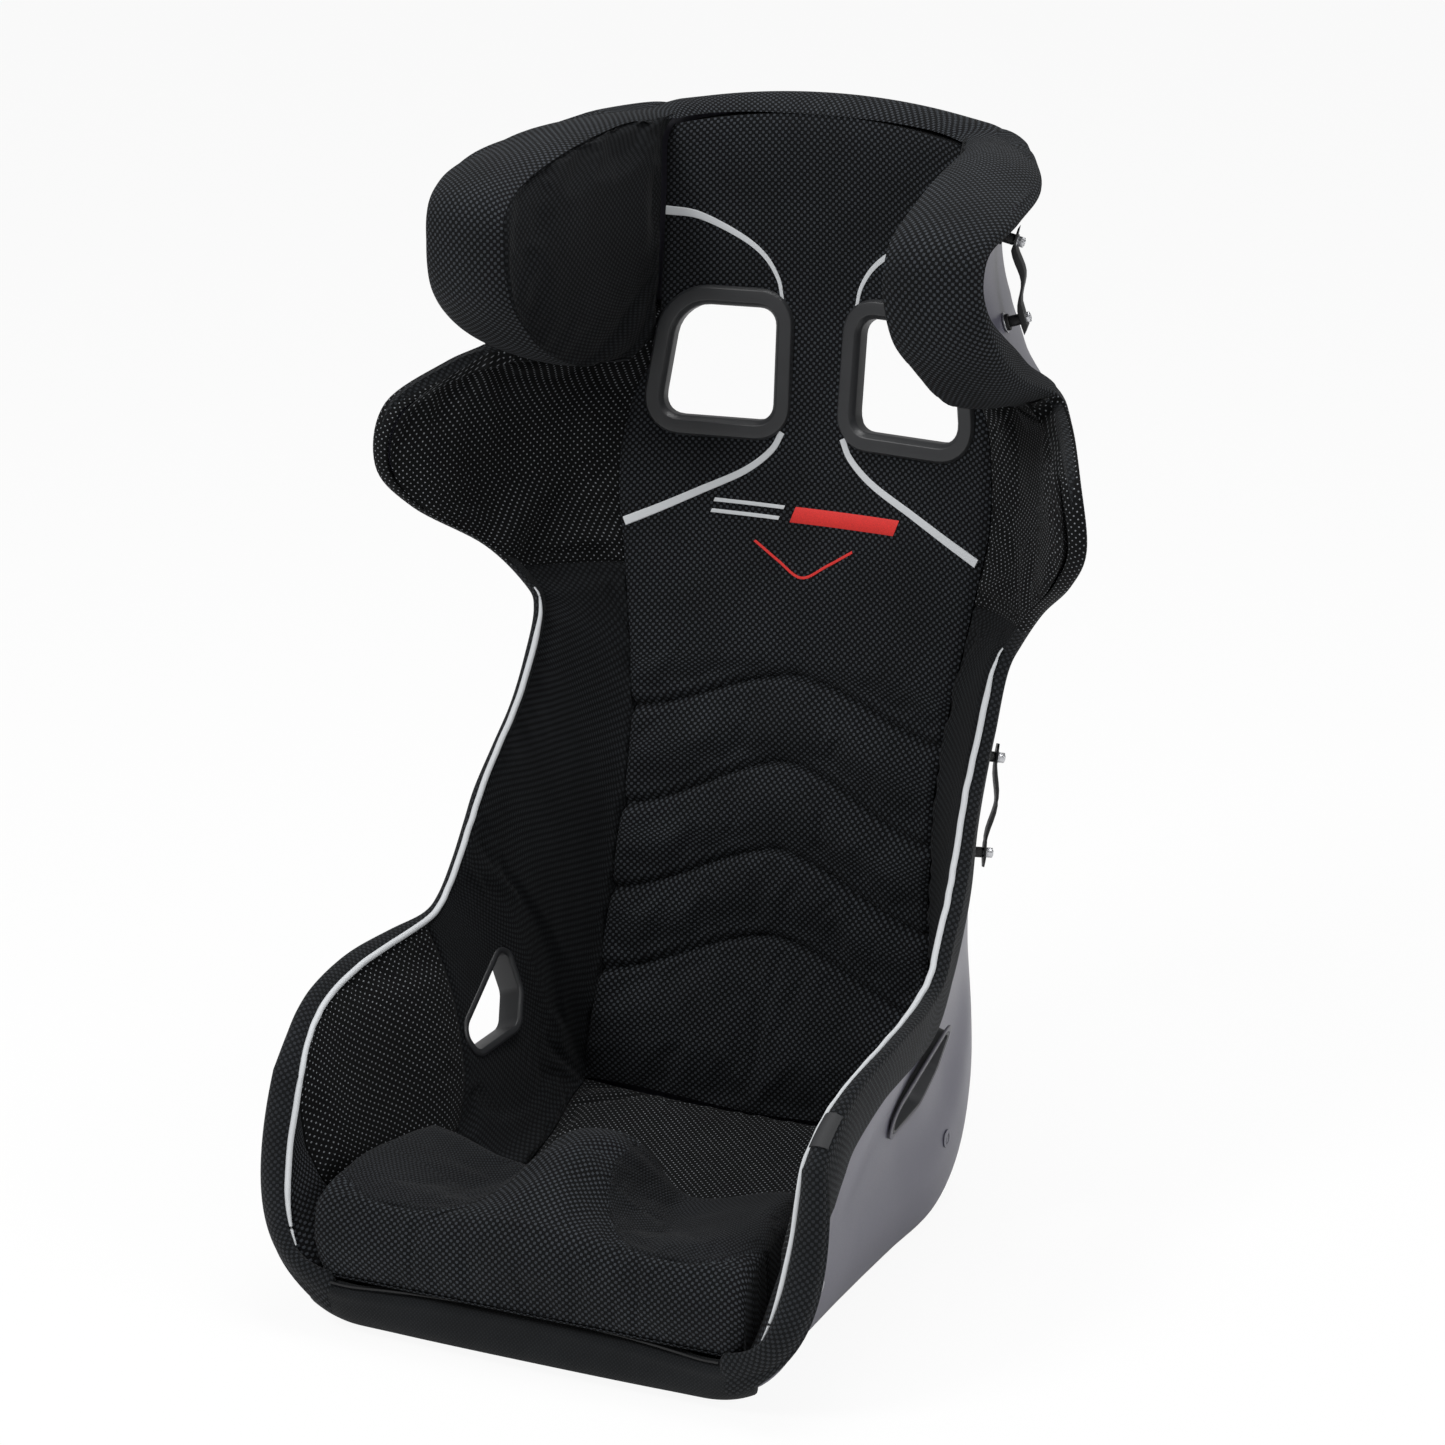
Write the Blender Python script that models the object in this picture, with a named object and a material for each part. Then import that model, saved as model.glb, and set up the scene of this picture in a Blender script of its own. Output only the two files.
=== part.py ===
"""Competition bucket seat with shoulder wings and a head restraint, as separate pieces.

The seat faces -Y, +Z is up and X = 0 is its plane of symmetry. The origin lies on the flat
underside of the shell. Sizes are in millimetres and become metres where a mesh is made.
"""

import math

import bmesh
import bpy
import numpy as np
from mathutils import Vector
from mathutils.bvhtree import BVHTree

MM = 0.001

# ---------------------------------------------------------------- driving dimensions
WALL = 4.0  # thickness of the moulded shell
PAD_GAP = 1.0  # between a pad and the shell that carries it
SEAM = 1.9  # from the edge of a pad to the sewn seam between two pads
EDGE_GAP = 2.0  # between a trim and the shell's rim
PART_GAP = 0.35  # between hard pieces that touch

THIGH_HALF = 229.0  # half width of the shell at the top of the thigh bolsters
THIGH_TOP = 240.0  # height of the thigh bolster's rim
WAIST_HALF = 211.0  # half width of the shell's rim at the waist
SHOULDER_HALF = 304.0  # half width of the shell across the shoulder wings
SHOULDER_LEVEL = 586.0  # height of the widest point of the shoulder wings
WING_HALF = 232.0  # half width of the shell's head wings at their front edge
WING_LEVEL = 778.0  # height of the middle of the head wings
WING_FRONT = 24.0  # how far back of the origin the head wings' front edge lies
WING_INNER_HALF = 160.0  # half width between the padded faces of the head wings
SHELL_TOP = 866.0  # height of the shell's top edge
FRONT = -298.0  # front face of the pan's lip
LIP_TOP = 34.0  # height of the pan's front lip
PAN_PAD = 48.0  # height of the base cushion's top

CHANNEL_DEPTH = 5.0
CHANNEL_ENDS = (148.0, 215.0, 286.0, 366.0)  # height of each chevron channel at its ends
CHANNEL_RISE = (43.0, 48.0, 48.0, 37.0)  # how much higher its middle lies
BACK_FOOT = 55.0  # height of the back cushion's lower edge
BACK_HEAD = 840.0  # height of the back cushion's upper corners
BACK_CROWN = 14.0  # how much higher its upper edge lies in the middle

COVER = 4.1  # thickness of the cover folded over the rim
PIPE_R = 2.4
CORD_GAP = 3.4  # from the edge of a pad to the cord's line

SLOT_X = 86.0  # centre of a shoulder-belt slot
SLOT_Z = 650.0
SLOT_W = 97.0
SLOT_H = 92.0
SLOT_LEAN = 7.5  # degrees
BEZEL_FACE = 13.5
BEZEL_T = 3.2
SLEEVE = 2.6

LAP_Y = -5.0  # centre of a lap-belt slot
LAP_Z = 160.0
LAP_FACE = 6.0
LAP_RING = 11.0

CROTCH_Y = -112.0
CROTCH_W = 84.0
CROTCH_L = 26.0

LEG_REAR = -146.0  # leg-support cushion
LEG_FRONT = -300.0
LEG_BASE = PAN_PAD + 1.3
LEG_LIP = 112.0
POMMEL = 143.0
POMMEL_HALF = 34.0
HOLLOW = 92.0

INSERT_Y = 86.0  # rear side insert
INSERT_PITCH = 290.0  # from the rear insert to the front one
INSERT_Z = 66.0
INSERT_FLANGE_R = 9.0
INSERT_R = 6.5
INSERT_BORE_R = 4.0
INSERT_PROUD = 1.5

WING_STUDS = ((100.0, 811.0), (100.0, 743.0))  # y and z of the studs on a head wing
WAIST_STUDS = ((166.0, 368.0), (141.0, 294.0))  # and on the shell's rear corner
STUD_R = 2.5
STUD_HEAD_R = 5.0
STUD_HEAD = 2.4
WASHER_R = 8.0
WASHER_T = 4.0
SPACER_R = 4.2
SPACER_L = 9.0
STRAP_T = 1.8
STRAP_W = 13.0
STRAP_TAIL = 13.0
STRAP_BOW = 5.0
NUT_R = 4.3
NUT_T = 6.0

# ---------------------------------------------------------------- control sections
# The shell's outer face, one row for each station from the pan's front lip to the top edge:
# centre (y, z), crease (x, y, z), run of the crease's rounding, rim (x, y, z).
SHELL_ROWS = (
    ((FRONT + 2, LIP_TOP), (THIGH_HALF + 24, FRONT - 5, LIP_TOP - 5), 107, (THIGH_HALF, -262, THIGH_TOP - 48)),
    ((FRONT, 13), (THIGH_HALF + 20, FRONT + 8, 10), 104, (THIGH_HALF, -245, THIGH_TOP - 32)),
    ((FRONT + 12, 2), (THIGH_HALF + 10, FRONT + 34, 1), 94, (THIGH_HALF + 1, -222, THIGH_TOP - 16)),
    ((-250, 0), (THIGH_HALF - 3, -230, 0), 78, (THIGH_HALF + 2, -192, THIGH_TOP - 6)),
    ((-180, 0), (THIGH_HALF - 9, -168, 0), 68, (THIGH_HALF + 3, -142, THIGH_TOP)),
    ((-90, 0), (THIGH_HALF - 21, -84, 0), 50, (THIGH_HALF, -84, THIGH_TOP + 3)),
    ((0, 0), (THIGH_HALF - 30, -2, 0), 36, (THIGH_HALF - 4, -42, THIGH_TOP + 7)),
    ((78, 0), (196, 78, 0), 30, (WAIST_HALF + 13, -18, 260)),
    ((132, 20), (193, 131, 20), 28, (WAIST_HALF + 11, 2, 284)),
    ((160, 60), (191, 159, 60), 28, (WAIST_HALF + 10, 22, 309)),
    ((168, 110), (187, 167, 110), 27, (WAIST_HALF + 8, 39, 333)),
    ((174, 190), (171, 171, 190), 27, (WAIST_HALF + 4, 64, 363)),
    ((186, 260), (162, 181, 260), 27, (WAIST_HALF + 1, 90, 391)),
    ((203, 330), (160, 197, 330), 27, (WAIST_HALF, 114, 423)),
    ((222, 395), (162, 215, 395), 27, (WAIST_HALF + 1, 134, 456)),
    ((238, 450), (171, 230, 450), 25, (WAIST_HALF + 9, 138, 474)),
    ((250, 500), (180, 240, 500), 25, (SHOULDER_HALF - 53, 118, SHOULDER_LEVEL - 85)),
    ((258, 540), (186, 248, 540), 25, (SHOULDER_HALF - 14, 74, SHOULDER_LEVEL - 46)),
    ((265, 580), (188, 255, 580), 25, (SHOULDER_HALF, 55, SHOULDER_LEVEL)),
    ((272, 622), (187, 262, 620), 25, (SHOULDER_HALF - 8, 61, SHOULDER_LEVEL + 50)),
    ((277, 652), (184, 267, 648), 25, (SHOULDER_HALF - 36, 116, SHOULDER_LEVEL + 75)),
    ((280, 676), (181, 271, 672), 25, (WING_HALF + 12, 152, WING_LEVEL - 105)),
    ((283, 704), (180, 273, 702), 25, (WING_HALF + 6, 88, WING_LEVEL - 74)),
    ((285, 740), (179, 275, 740), 25, (WING_HALF + 4, WING_FRONT + 18, WING_LEVEL - 38)),
    ((286, 776), (178, 276, 776), 25, (WING_HALF, WING_FRONT, WING_LEVEL)),
    ((287, 808), (177, 277, 806), 25, (WING_HALF, WING_FRONT + 8, WING_LEVEL + 34)),
    ((287, 834), (175, 277, 828), 25, (WING_HALF + 5, 76, WING_LEVEL + 50)),
    ((287, 852), (170, 277, 841), 25, (WING_HALF - 3, 142, WING_LEVEL + 59)),
    ((286, SHELL_TOP), (160, 276, SHELL_TOP - 16), 25, (WING_HALF - 40, 226, SHELL_TOP - 19)),
)

# The padded face that the driver meets, at the same stations:
# centre (y, z), seam (x, y, z), crease (x, y), rim (x, y, z).
PAD_ROWS = (
    ((FRONT + 6, PAN_PAD - 1), (176, FRONT, PAN_PAD - 1), (216, FRONT - 16), (THIGH_HALF - 16, -258, THIGH_TOP - 50)),
    ((FRONT + 14, PAN_PAD - 1), (176, FRONT + 12, PAN_PAD - 1), (194, FRONT + 6), (THIGH_HALF - 13, -240, THIGH_TOP - 31)),
    ((FRONT + 28, PAN_PAD), (175, FRONT + 32, PAN_PAD), (188, FRONT + 30), (THIGH_HALF - 10, -222, THIGH_TOP - 19)),
    ((-240, PAN_PAD), (171, -238, PAN_PAD + 1), (186, -236), (THIGH_HALF - 8, -192, THIGH_TOP - 9)),
    ((-178, PAN_PAD), (152, -176, PAN_PAD + 2), (184, -172), (THIGH_HALF - 7, -142, THIGH_TOP - 3)),
    ((-90, PAN_PAD), (126, -90, PAN_PAD + 2), (178, -88), (THIGH_HALF - 11, -84, THIGH_TOP - 1)),
    ((0, PAN_PAD - 1), (135, 0, PAN_PAD + 3), (180, 0), (THIGH_HALF - 15, -41, THIGH_TOP + 3)),
    ((62, PAN_PAD - 1), (150, 64, PAN_PAD + 5), (182, 64), (WAIST_HALF + 3, -17, 256)),
    ((104, PAN_PAD + 1), (157, 102, PAN_PAD + 8), (181, 102), (WAIST_HALF + 1, 3, 280)),
    ((114, 85), (154, 107, 85), (180, 107), (WAIST_HALF, 23, 305)),
    ((128, 125), (149, 112, 125), (176, 112), (WAIST_HALF - 2, 40, 329)),
    ((146, 190), (146, 132, 187), (168, 132), (WAIST_HALF - 5, 65, 359)),
    ((158, 263), (141, 146, 258), (160, 146), (WAIST_HALF - 8, 91, 387)),
    ((177, 334), (138, 166, 334), (156, 166), (WAIST_HALF - 9, 115, 419)),
    ((196, 400), (144, 182, 400), (160, 182), (WAIST_HALF - 8, 135, 452)),
    ((208, 455), (152, 194, 455), (170, 194), (WAIST_HALF + 1, 138, 468)),
    ((217, 500), (159, 202, 500), (182, 202), (SHOULDER_HALF - 64, 118, SHOULDER_LEVEL - 92)),
    ((225, 540), (165, 208, 540), (192, 208), (SHOULDER_HALF - 25, 74, SHOULDER_LEVEL - 52)),
    ((233, 580), (164, 214, 580), (194, 214), (SHOULDER_HALF - 11, 54, SHOULDER_LEVEL - 2)),
    ((240, 622), (157, 224, 620), (190, 224), (SHOULDER_HALF - 18, 59, SHOULDER_LEVEL + 43)),
    ((245, 648), (146, 230, 644), (184, 230), (SHOULDER_HALF - 45, 112, SHOULDER_LEVEL + 64)),
    ((249, 676), (140, 236, 664), (180, 236), (WING_HALF - 2, 150, WING_LEVEL - 116)),
    ((252, 704), (138, 239, 704), (178, 239), (WING_HALF - 4, 90, WING_LEVEL - 74)),
    ((254, 740), (136, 241, 740), (176, 241), (WING_HALF - 6, 60, WING_LEVEL - 38)),
    ((255, 776), (134, 242, 776), (174, 242), (WING_HALF - 8, 50, WING_LEVEL)),
    ((255, 808), (133, 243, 808), (172, 243), (WING_HALF - 8, 50, WING_LEVEL + 34)),
    ((256, 832), (132, 244, 830), (170, 244), (WING_HALF - 8, 80, WING_LEVEL + 50)),
    ((258, 848), (128, 247, 842), (166, 247), (WING_HALF - 10, 142, WING_LEVEL + 59)),
    ((261, 858), (122, 252, 850), (156, 252), (WING_HALF - 44, 226, SHELL_TOP - 19)),
)

# How far the side wall is drawn in below its rim, by station.
WALL_TUCK = ((1.0, 2.0, 3.0, 4.5, 6.0, 8.0, 10.0, 13.0), (0.0, 8.0, 18.0, 30.0, 34.0, 30.0, 16.0, 0.0))

# Inner face of a head wing pad: station, front corner (x, y, z).
WING_FACE_ROWS = (
    (21.3, (WING_INNER_HALF - 6, 190, WING_LEVEL - 122)),
    (21.7, (WING_INNER_HALF + 2, 142, WING_LEVEL - 116)),
    (22.2, (WING_INNER_HALF + 8, 92, WING_LEVEL - 94)),
    (22.7, (WING_INNER_HALF + 6, 52, WING_LEVEL - 64)),
    (23.3, (WING_INNER_HALF + 2, 24, WING_LEVEL - 36)),
    (24.1, (WING_INNER_HALF, 12, WING_LEVEL + 4)),
    (25.0, (WING_INNER_HALF + 1, 19, WING_LEVEL + 36)),
    (25.8, (WING_INNER_HALF + 1, 58, WING_LEVEL + 54)),
    (26.7, (WING_INNER_HALF - 5, 128, WING_LEVEL + 67)),
    (27.6, (WING_INNER_HALF - 12, 196, WING_LEVEL + 72)),
)

# Stations where one pad meets the next.
THIGH_START = 0.3
THIGH_START_LOW = 0.95
PAN_START = 2.0
PAN_END = 8.0
THIGH_END = 5.35
SIDE_END = 15.55
SHOULDER_END = 20.9
WING_START = 21.3
WING_END = 27.3
PIPE_START = 1.4
PIPE_END = 14.9
LAST = len(SHELL_ROWS) - 1

ACROSS = (0.0, 0.34, 0.68, 1.0, 1.14, 1.3, 1.48, 1.66, 1.85, 2.0)
ALONG_STEP = 0.8
BREAKS = (0, PAN_START, THIGH_END, PAN_END, SIDE_END, SHOULDER_END, WING_START, WING_END, LAST)


# ---------------------------------------------------------------- surfaces
def hermite(rows, s):
    """Smooth curve through the rows, read at station s."""
    rows = np.asarray(rows, float)
    i = int(min(max(math.floor(s), 0), len(rows) - 2))
    f = s - i
    before = rows[max(i - 1, 0)]
    here, there = rows[i], rows[i + 1]
    after = rows[min(i + 2, len(rows) - 1)]
    leave = (there - before) / (2.0 if i > 0 else 1.0)
    arrive = (after - here) / (2.0 if i + 2 < len(rows) else 1.0)
    f2, f3 = f * f, f * f * f
    return (
        (2 * f3 - 3 * f2 + 1) * here
        + (f3 - 2 * f2 + f) * leave
        + (3 * f2 - 2 * f3) * there
        + (f3 - f2) * arrive
    )


def flat_rows(rows):
    """The numbers of each row side by side, with a single value kept as one column."""
    return [np.hstack([np.atleast_1d(np.asarray(part, float)) for part in row]) for row in rows]


SHELL_TABLE = flat_rows(SHELL_ROWS)
PAD_TABLE = flat_rows(PAD_ROWS)
WING_STATIONS = [row[0] for row in WING_FACE_ROWS]
WING_TABLE = flat_rows([row[1:] for row in WING_FACE_ROWS])


def bend(seam, crease, rim, f, tuck):
    """Point at f from 0 to 1 on the rounded wall from the seam, past the crease, to the rim."""
    leave = seam + 0.75 * (crease - seam)
    arrive = rim + 0.6 * (crease - rim) - (tuck, 0, 0)
    g = 1.0 - f
    return g**3 * seam + 3 * g * g * f * leave + 3 * g * f * f * arrive + f**3 * rim


def across(centre, seam, crease, rim, v, tuck):
    """Point of a section at v: 0 on the centre line, 1 at the seam, 2 at the rim, mirrored below 0.

    The tuck draws the wall in below its rim.
    """
    side = -1.0 if v < 0 else 1.0
    v = abs(v)
    if v <= 1.0:
        point = np.array([v * seam[0], *(centre[1:] + (seam[1:] - centre[1:]) * v * v)])
    else:
        point = bend(seam, crease, rim, v - 1.0, tuck)
    return point * (side, 1.0, 1.0)


def shell_face(s, v):
    """Point of the shell's outer face."""
    row = hermite(SHELL_TABLE, s)
    centre = np.array([0.0, row[0], row[1]])
    crease = row[2:5]
    seam = crease + (centre - crease) * (row[5] / crease[0])
    point = across(centre, seam, crease, row[6:9], v, float(np.interp(s, *WALL_TUCK)))
    point[2] = max(point[2], 0.0)
    return point


def pad_face(s, v):
    """Point of the padded face."""
    row = hermite(PAD_TABLE, s)
    centre = np.array([0.0, row[0], row[1]])
    seam = row[2:5]
    crease = np.array([row[5], row[6], seam[2]])
    return across(centre, seam, crease, row[7:10], v, float(np.interp(s, *WALL_TUCK)))


def normal(face, s, v):
    """Unit normal of a face, away from the driver."""
    step = 0.02
    s0, s1 = max(s - step, 0.0), min(s + step, LAST)
    side = -1.0 if v < 0 else 1.0
    v0 = max(abs(v) - step, 0.0)
    v1 = min(abs(v) + step, 2.0)
    along = face(s1, v) - face(s0, v)
    out = (face(s, side * v1) - face(s, side * v0)) * side
    n = np.cross(along, out)
    return n / np.linalg.norm(n)


def stations(start, end):
    """The stations from start to end that every piece shares, so that neighbours stay parallel."""
    shared = [0.0]
    for low, high in zip(BREAKS, BREAKS[1:]):
        count = math.ceil((high - low) / ALONG_STEP - 0.01)
        shared += [low + (high - low) * k / count for k in range(1, count + 1)]
    inside = [s for s in shared if start + 0.05 < s < end - 0.05]
    return [start, *inside, end]


def grid(face, rows, columns):
    """Points of a face at each row and column."""
    return np.array([[face(s, v) for v in columns] for s in rows])


SHARED = stations(0, LAST)
NODES = grid(shell_face, SHARED, ACROSS)
NORMALS = grid(lambda s, v: normal(shell_face, s, v), SHARED, ACROSS)


def skin(s, v, out=0.0):
    """Point of the shell's outer face as its facets have it, moved out along its normal."""
    side = np.array([-1.0 if v < 0 else 1.0, 1.0, 1.0])
    v = abs(v)
    i = max(k for k, place in enumerate(SHARED[:-1]) if place <= s + 1e-9)
    j = max(k for k, place in enumerate(ACROSS[:-1]) if place <= v + 1e-9)
    f = (s - SHARED[i]) / (SHARED[i + 1] - SHARED[i])
    g = (v - ACROSS[j]) / (ACROSS[j + 1] - ACROSS[j])
    corners = NODES + NORMALS * out if out else NODES
    a, b, c, d = corners[i, j], corners[i, j + 1], corners[i + 1, j + 1], corners[i + 1, j]
    point = a + (b - a) * g + (c - b) * f if g >= f else a + (d - a) * f + (c - d) * g
    return point * side


# ---------------------------------------------------------------- meshes
def material(name, colour, roughness, metallic=0.0):
    """Principled material, made once for each name."""
    found = bpy.data.materials.get(name)
    if found:
        return found
    made = bpy.data.materials.new(name)
    made.use_nodes = True
    shader = made.node_tree.nodes["Principled BSDF"]
    shader.inputs["Base Color"].default_value = (*colour, 1.0)
    shader.inputs["Roughness"].default_value = roughness
    shader.inputs["Metallic"].default_value = metallic
    made.diffuse_color = (*colour, 1.0)
    return made


def gelcoat():
    return material("gelcoat", (0.13, 0.12, 0.14), 0.28)


def waffle_knit():
    return material("waffle_knit", (0.016, 0.018, 0.021), 0.9)


def smooth_knit():
    return material("smooth_knit", (0.012, 0.013, 0.015), 0.95)


def grip_fabric():
    return material("grip_fabric", (0.018, 0.019, 0.022), 0.85)


def edge_cloth():
    return material("edge_cloth", (0.014, 0.015, 0.017), 0.9)


def reflective_cord():
    return material("reflective_cord", (0.62, 0.64, 0.66), 0.45)


def moulded_plastic():
    return material("moulded_plastic", (0.03, 0.03, 0.033), 0.5)


def zinc_steel():
    return material("zinc_steel", (0.56, 0.57, 0.6), 0.3, 1.0)


def black_plastic():
    return material("black_plastic", (0.012, 0.012, 0.013), 0.55)


def add_mesh(name, points, faces, finish, smooth=40.0):
    """Closed mesh object in metres, its faces turned outwards."""
    mesh = bpy.data.meshes.new(name)
    mesh.from_pydata([tuple(p) for p in np.asarray(points) * MM], [], faces)
    work = bmesh.new()
    work.from_mesh(mesh)
    bmesh.ops.recalc_face_normals(work, faces=work.faces)
    if work.calc_volume(signed=True) < 0:
        bmesh.ops.reverse_faces(work, faces=work.faces)
    work.to_mesh(mesh)
    work.free()
    mesh.shade_smooth()
    mesh.set_sharp_from_angle(angle=math.radians(smooth))
    made = bpy.data.objects.new(name, mesh)
    bpy.context.scene.collection.objects.link(made)
    if finish:
        made.data.materials.append(finish)
    return made


def ring_index(rows, columns):
    """Index pairs round the border of a grid."""
    top = [(0, j) for j in range(columns)]
    right = [(i, columns - 1) for i in range(1, rows)]
    bottom = [(rows - 1, j) for j in range(columns - 2, -1, -1)]
    left = [(i, 0) for i in range(rows - 2, 0, -1)]
    return top + right + bottom + left


def slab(name, front, back, finish, rings=(), smooth=40.0, middle=0):
    """Closed body between two grids of points, with optional rings of points round its border.

    Quads are split the same way on both grids, and the split is mirrored left of the middle column.
    """
    rows, columns = front.shape[:2]
    count = rows * columns
    points = [*front.reshape(-1, 3), *back.reshape(-1, 3)]
    faces = []
    for i in range(rows - 1):
        for j in range(columns - 1):
            a = i * columns + j
            b, c, d = a + 1, a + columns + 1, a + columns
            left = j < middle
            for quad, flip in (((a, b, c, d), False), ((a, b, c, d), True)):
                q = [k + count for k in quad] if flip else list(quad)
                cut = (q[0], q[1], q[2]), (q[0], q[2], q[3])
                if left:
                    cut = (q[0], q[1], q[3]), (q[1], q[2], q[3])
                faces += [t[::-1] for t in cut] if flip else list(cut)
    border = ring_index(rows, columns)
    loops = [[i * columns + j for i, j in border]]
    for ring in rings:
        first = len(points)
        points += list(ring)
        loops.append([first + k for k in range(len(border))])
    loops.append([count + i * columns + j for i, j in border])
    rank = [p[1] + p[2] + 0.5 * abs(p[0]) for p in points]
    for outer, inner in zip(loops, loops[1:]):
        for k in range(len(border)):
            n = (k + 1) % len(border)
            if rank[outer[k]] < rank[outer[n]]:
                faces += [(outer[k], inner[k], inner[n]), (outer[k], inner[n], outer[n])]
            else:
                faces += [(outer[k], inner[k], outer[n]), (inner[k], inner[n], outer[n])]
    return add_mesh(name, points, faces, finish, smooth)


def border_points(points):
    rows, columns = points.shape[:2]
    return np.array([points[i, j] for i, j in ring_index(rows, columns)])


def border_outward(points):
    """Unit direction out of the grid at each point of its border, along the grid's own lines."""
    rows, columns = points.shape[:2]
    out = []
    for i, j in ring_index(rows, columns):
        d = np.zeros(3)
        if i in (0, rows - 1):
            k = 1 if i == 0 else rows - 2
            step = points[i, j] - points[k, j]
            d += step / np.linalg.norm(step)
        if j in (0, columns - 1):
            k = 1 if j == 0 else columns - 2
            step = points[i, j] - points[i, k]
            d += step / np.linalg.norm(step)
        out.append(d / np.linalg.norm(d))
    return np.array(out)


def draw_in(points, amount):
    """The grid with its border moved inwards along its own lines."""
    moved = points.copy()
    rows, columns = points.shape[:2]
    for (i, j), d in zip(ring_index(rows, columns), border_outward(points)):
        corner = i in (0, rows - 1) and j in (0, columns - 1)
        moved[i, j] = points[i, j] - d * amount * (math.sqrt(2) if corner else 1.0)
    return moved


def pad(name, front, back, finish, middle=0, drop=4.5, bulge=1.0):
    """Sewn pad: crowned, with its border drawn in towards the back and its sides bulging."""
    front, back = draw_in(front, SEAM), draw_in(back, SEAM)
    rows, columns = front.shape[:2]
    sides = border_outward(front)
    for i, j in ring_index(rows, columns):
        to_back = back[i, j] - front[i, j]
        depth = np.linalg.norm(to_back)
        front[i, j] += to_back / depth * min(drop, 0.4 * depth)
    ring = 0.5 * (border_points(front) + border_points(back)) + sides * bulge
    return slab(name, front, back, finish, [ring], middle=middle)


def cut(target, cutter):
    """Boolean difference that stays on the target, with its cutter kept out of the render."""
    cutter.hide_render = True
    cutter.display_type = "WIRE"
    modifier = target.modifiers.new("cut_" + cutter.name, "BOOLEAN")
    modifier.operation = "DIFFERENCE"
    modifier.object = cutter


# ---------------------------------------------------------------- shell
def make_shell():
    """One-piece moulded bucket."""
    rows = stations(0, LAST)
    columns = [-v for v in ACROSS[:0:-1]] + list(ACROSS)
    outer = grid(skin, rows, columns)
    inner = grid(lambda s, v: skin(s, v, -WALL), rows, columns)
    return slab("shell", outer, inner, gelcoat(), middle=len(columns) // 2)


# ---------------------------------------------------------------- pads
def lining(rows, columns):
    """Grid on the shell's inner face with the pad gap."""
    return grid(lambda s, v: skin(s, v, -WALL - PAD_GAP), rows, columns)


def wall_pad(name, side, start, end, finish, edge_gap, start_low=None):
    """Pad on the shell's side between two stations, with its first row further on near the pan if asked."""
    rows = stations(start, end)
    if start_low:
        rows = [start] + [s for s in rows if s > start_low + 0.2]
    front, back = [], []
    for i, s in enumerate(rows):
        _, lip = padded_edge((s, 2.0), (s, 1.85))
        front_columns = (*ACROSS[3:-1], short_of_rim(s, edge_gap))
        back_columns = (*ACROSS[3:-1], short_of_rim(s, max(6.0, 4.5 - lip)))
        places = [s] * len(front_columns)
        if i == 0 and start_low:
            places = [float(np.interp(v, (1.14, 1.35), (start_low, start))) for v in front_columns]
        front.append([pad_face(t, side * v) for t, v in zip(places, front_columns)])
        back.append([skin(t, side * v, -WALL - PAD_GAP) for t, v in zip(places, back_columns)])
    return pad(name, np.array(front), np.array(back), finish)


def short_of_rim(s, gap):
    """Place across that lies this far from the shell's rim."""
    point, _, out = rim_frame((s, 2.0), (s, 1.85))
    return 2.0 - 0.15 * gap / float((point - skin(s, 1.85)) @ out)


def make_base_cushion():
    rows = stations(PAN_START, PAN_END)
    columns = [-v for v in ACROSS[3:0:-1]] + list(ACROSS[:4])
    front, back = grid(pad_face, rows, columns), lining(rows, columns)
    return pad("base_cushion", front, back, grip_fabric(), middle=3)


def chevron(x, half, rise):
    """Height of a chevron channel above its ends."""
    u = min(abs(x) / half, 1.0)
    return rise * (0.7 * 0.5 * (1 + math.cos(math.pi * u)) + 0.3 * (1 - u))


def station_of_height(face, z, v):
    """Station on the back where a face has this height."""
    low, high = 7.0, float(LAST)
    for _ in range(40):
        middle = 0.5 * (low + high)
        if face(middle, v)[2] < z:
            low = middle
        else:
            high = middle
    return low


def back_levels():
    """Height at the ends, chevron rise, depth and crown of each row of the back cushion."""
    ends = (BACK_FOOT, *CHANNEL_ENDS)
    rises = (-6.0, *CHANNEL_RISE)
    levels = [(BACK_FOOT, rises[0], 0.0, 0.0)]
    for k in range(len(CHANNEL_ENDS)):
        for f in (0.1, 0.5, 0.9):
            if k == 0 and f < 0.2:
                continue
            level = ends[k] + f * (ends[k + 1] - ends[k])
            levels.append((level, rises[k] + f * (rises[k + 1] - rises[k]), 0.0, 0.0))
        levels.append((ends[k + 1], rises[k + 1], CHANNEL_DEPTH, 0.0))
    last = CHANNEL_ENDS[-1]
    for level in (last + 9, *np.linspace(last + 45, BACK_HEAD - 8, 9), BACK_HEAD):
        fade = max(0.0, 1.0 - (level - last) / 150.0)
        crown = BACK_CROWN * (level - last) / (BACK_HEAD - last)
        levels.append((level, CHANNEL_RISE[-1] * fade, 0.0, crown))
    return levels


def make_back_cushion():
    """Long back panel with four sewn chevron channels."""
    columns = [-1.0, -0.8, -0.6, -0.4, -0.2, 0.0, 0.2, 0.4, 0.6, 0.8, 1.0]
    front, back = [], []
    for level, rise, depth, crown in back_levels():
        front_row, back_row = [], []
        for v in columns:
            z = level + chevron(v, 1.0, rise) + crown * (1 - v * v)
            s = station_of_height(pad_face, z, v)
            front_row.append(pad_face(s, v) + depth * normal(pad_face, s, v))
            s = station_of_height(shell_face, z, v)
            back_row.append(skin(s, v * 0.93, -WALL - PAD_GAP - 0.3))
        front.append(front_row)
        back.append(back_row)
    return pad("back_cushion", np.array(front), np.array(back), waffle_knit(), middle=5)


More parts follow.
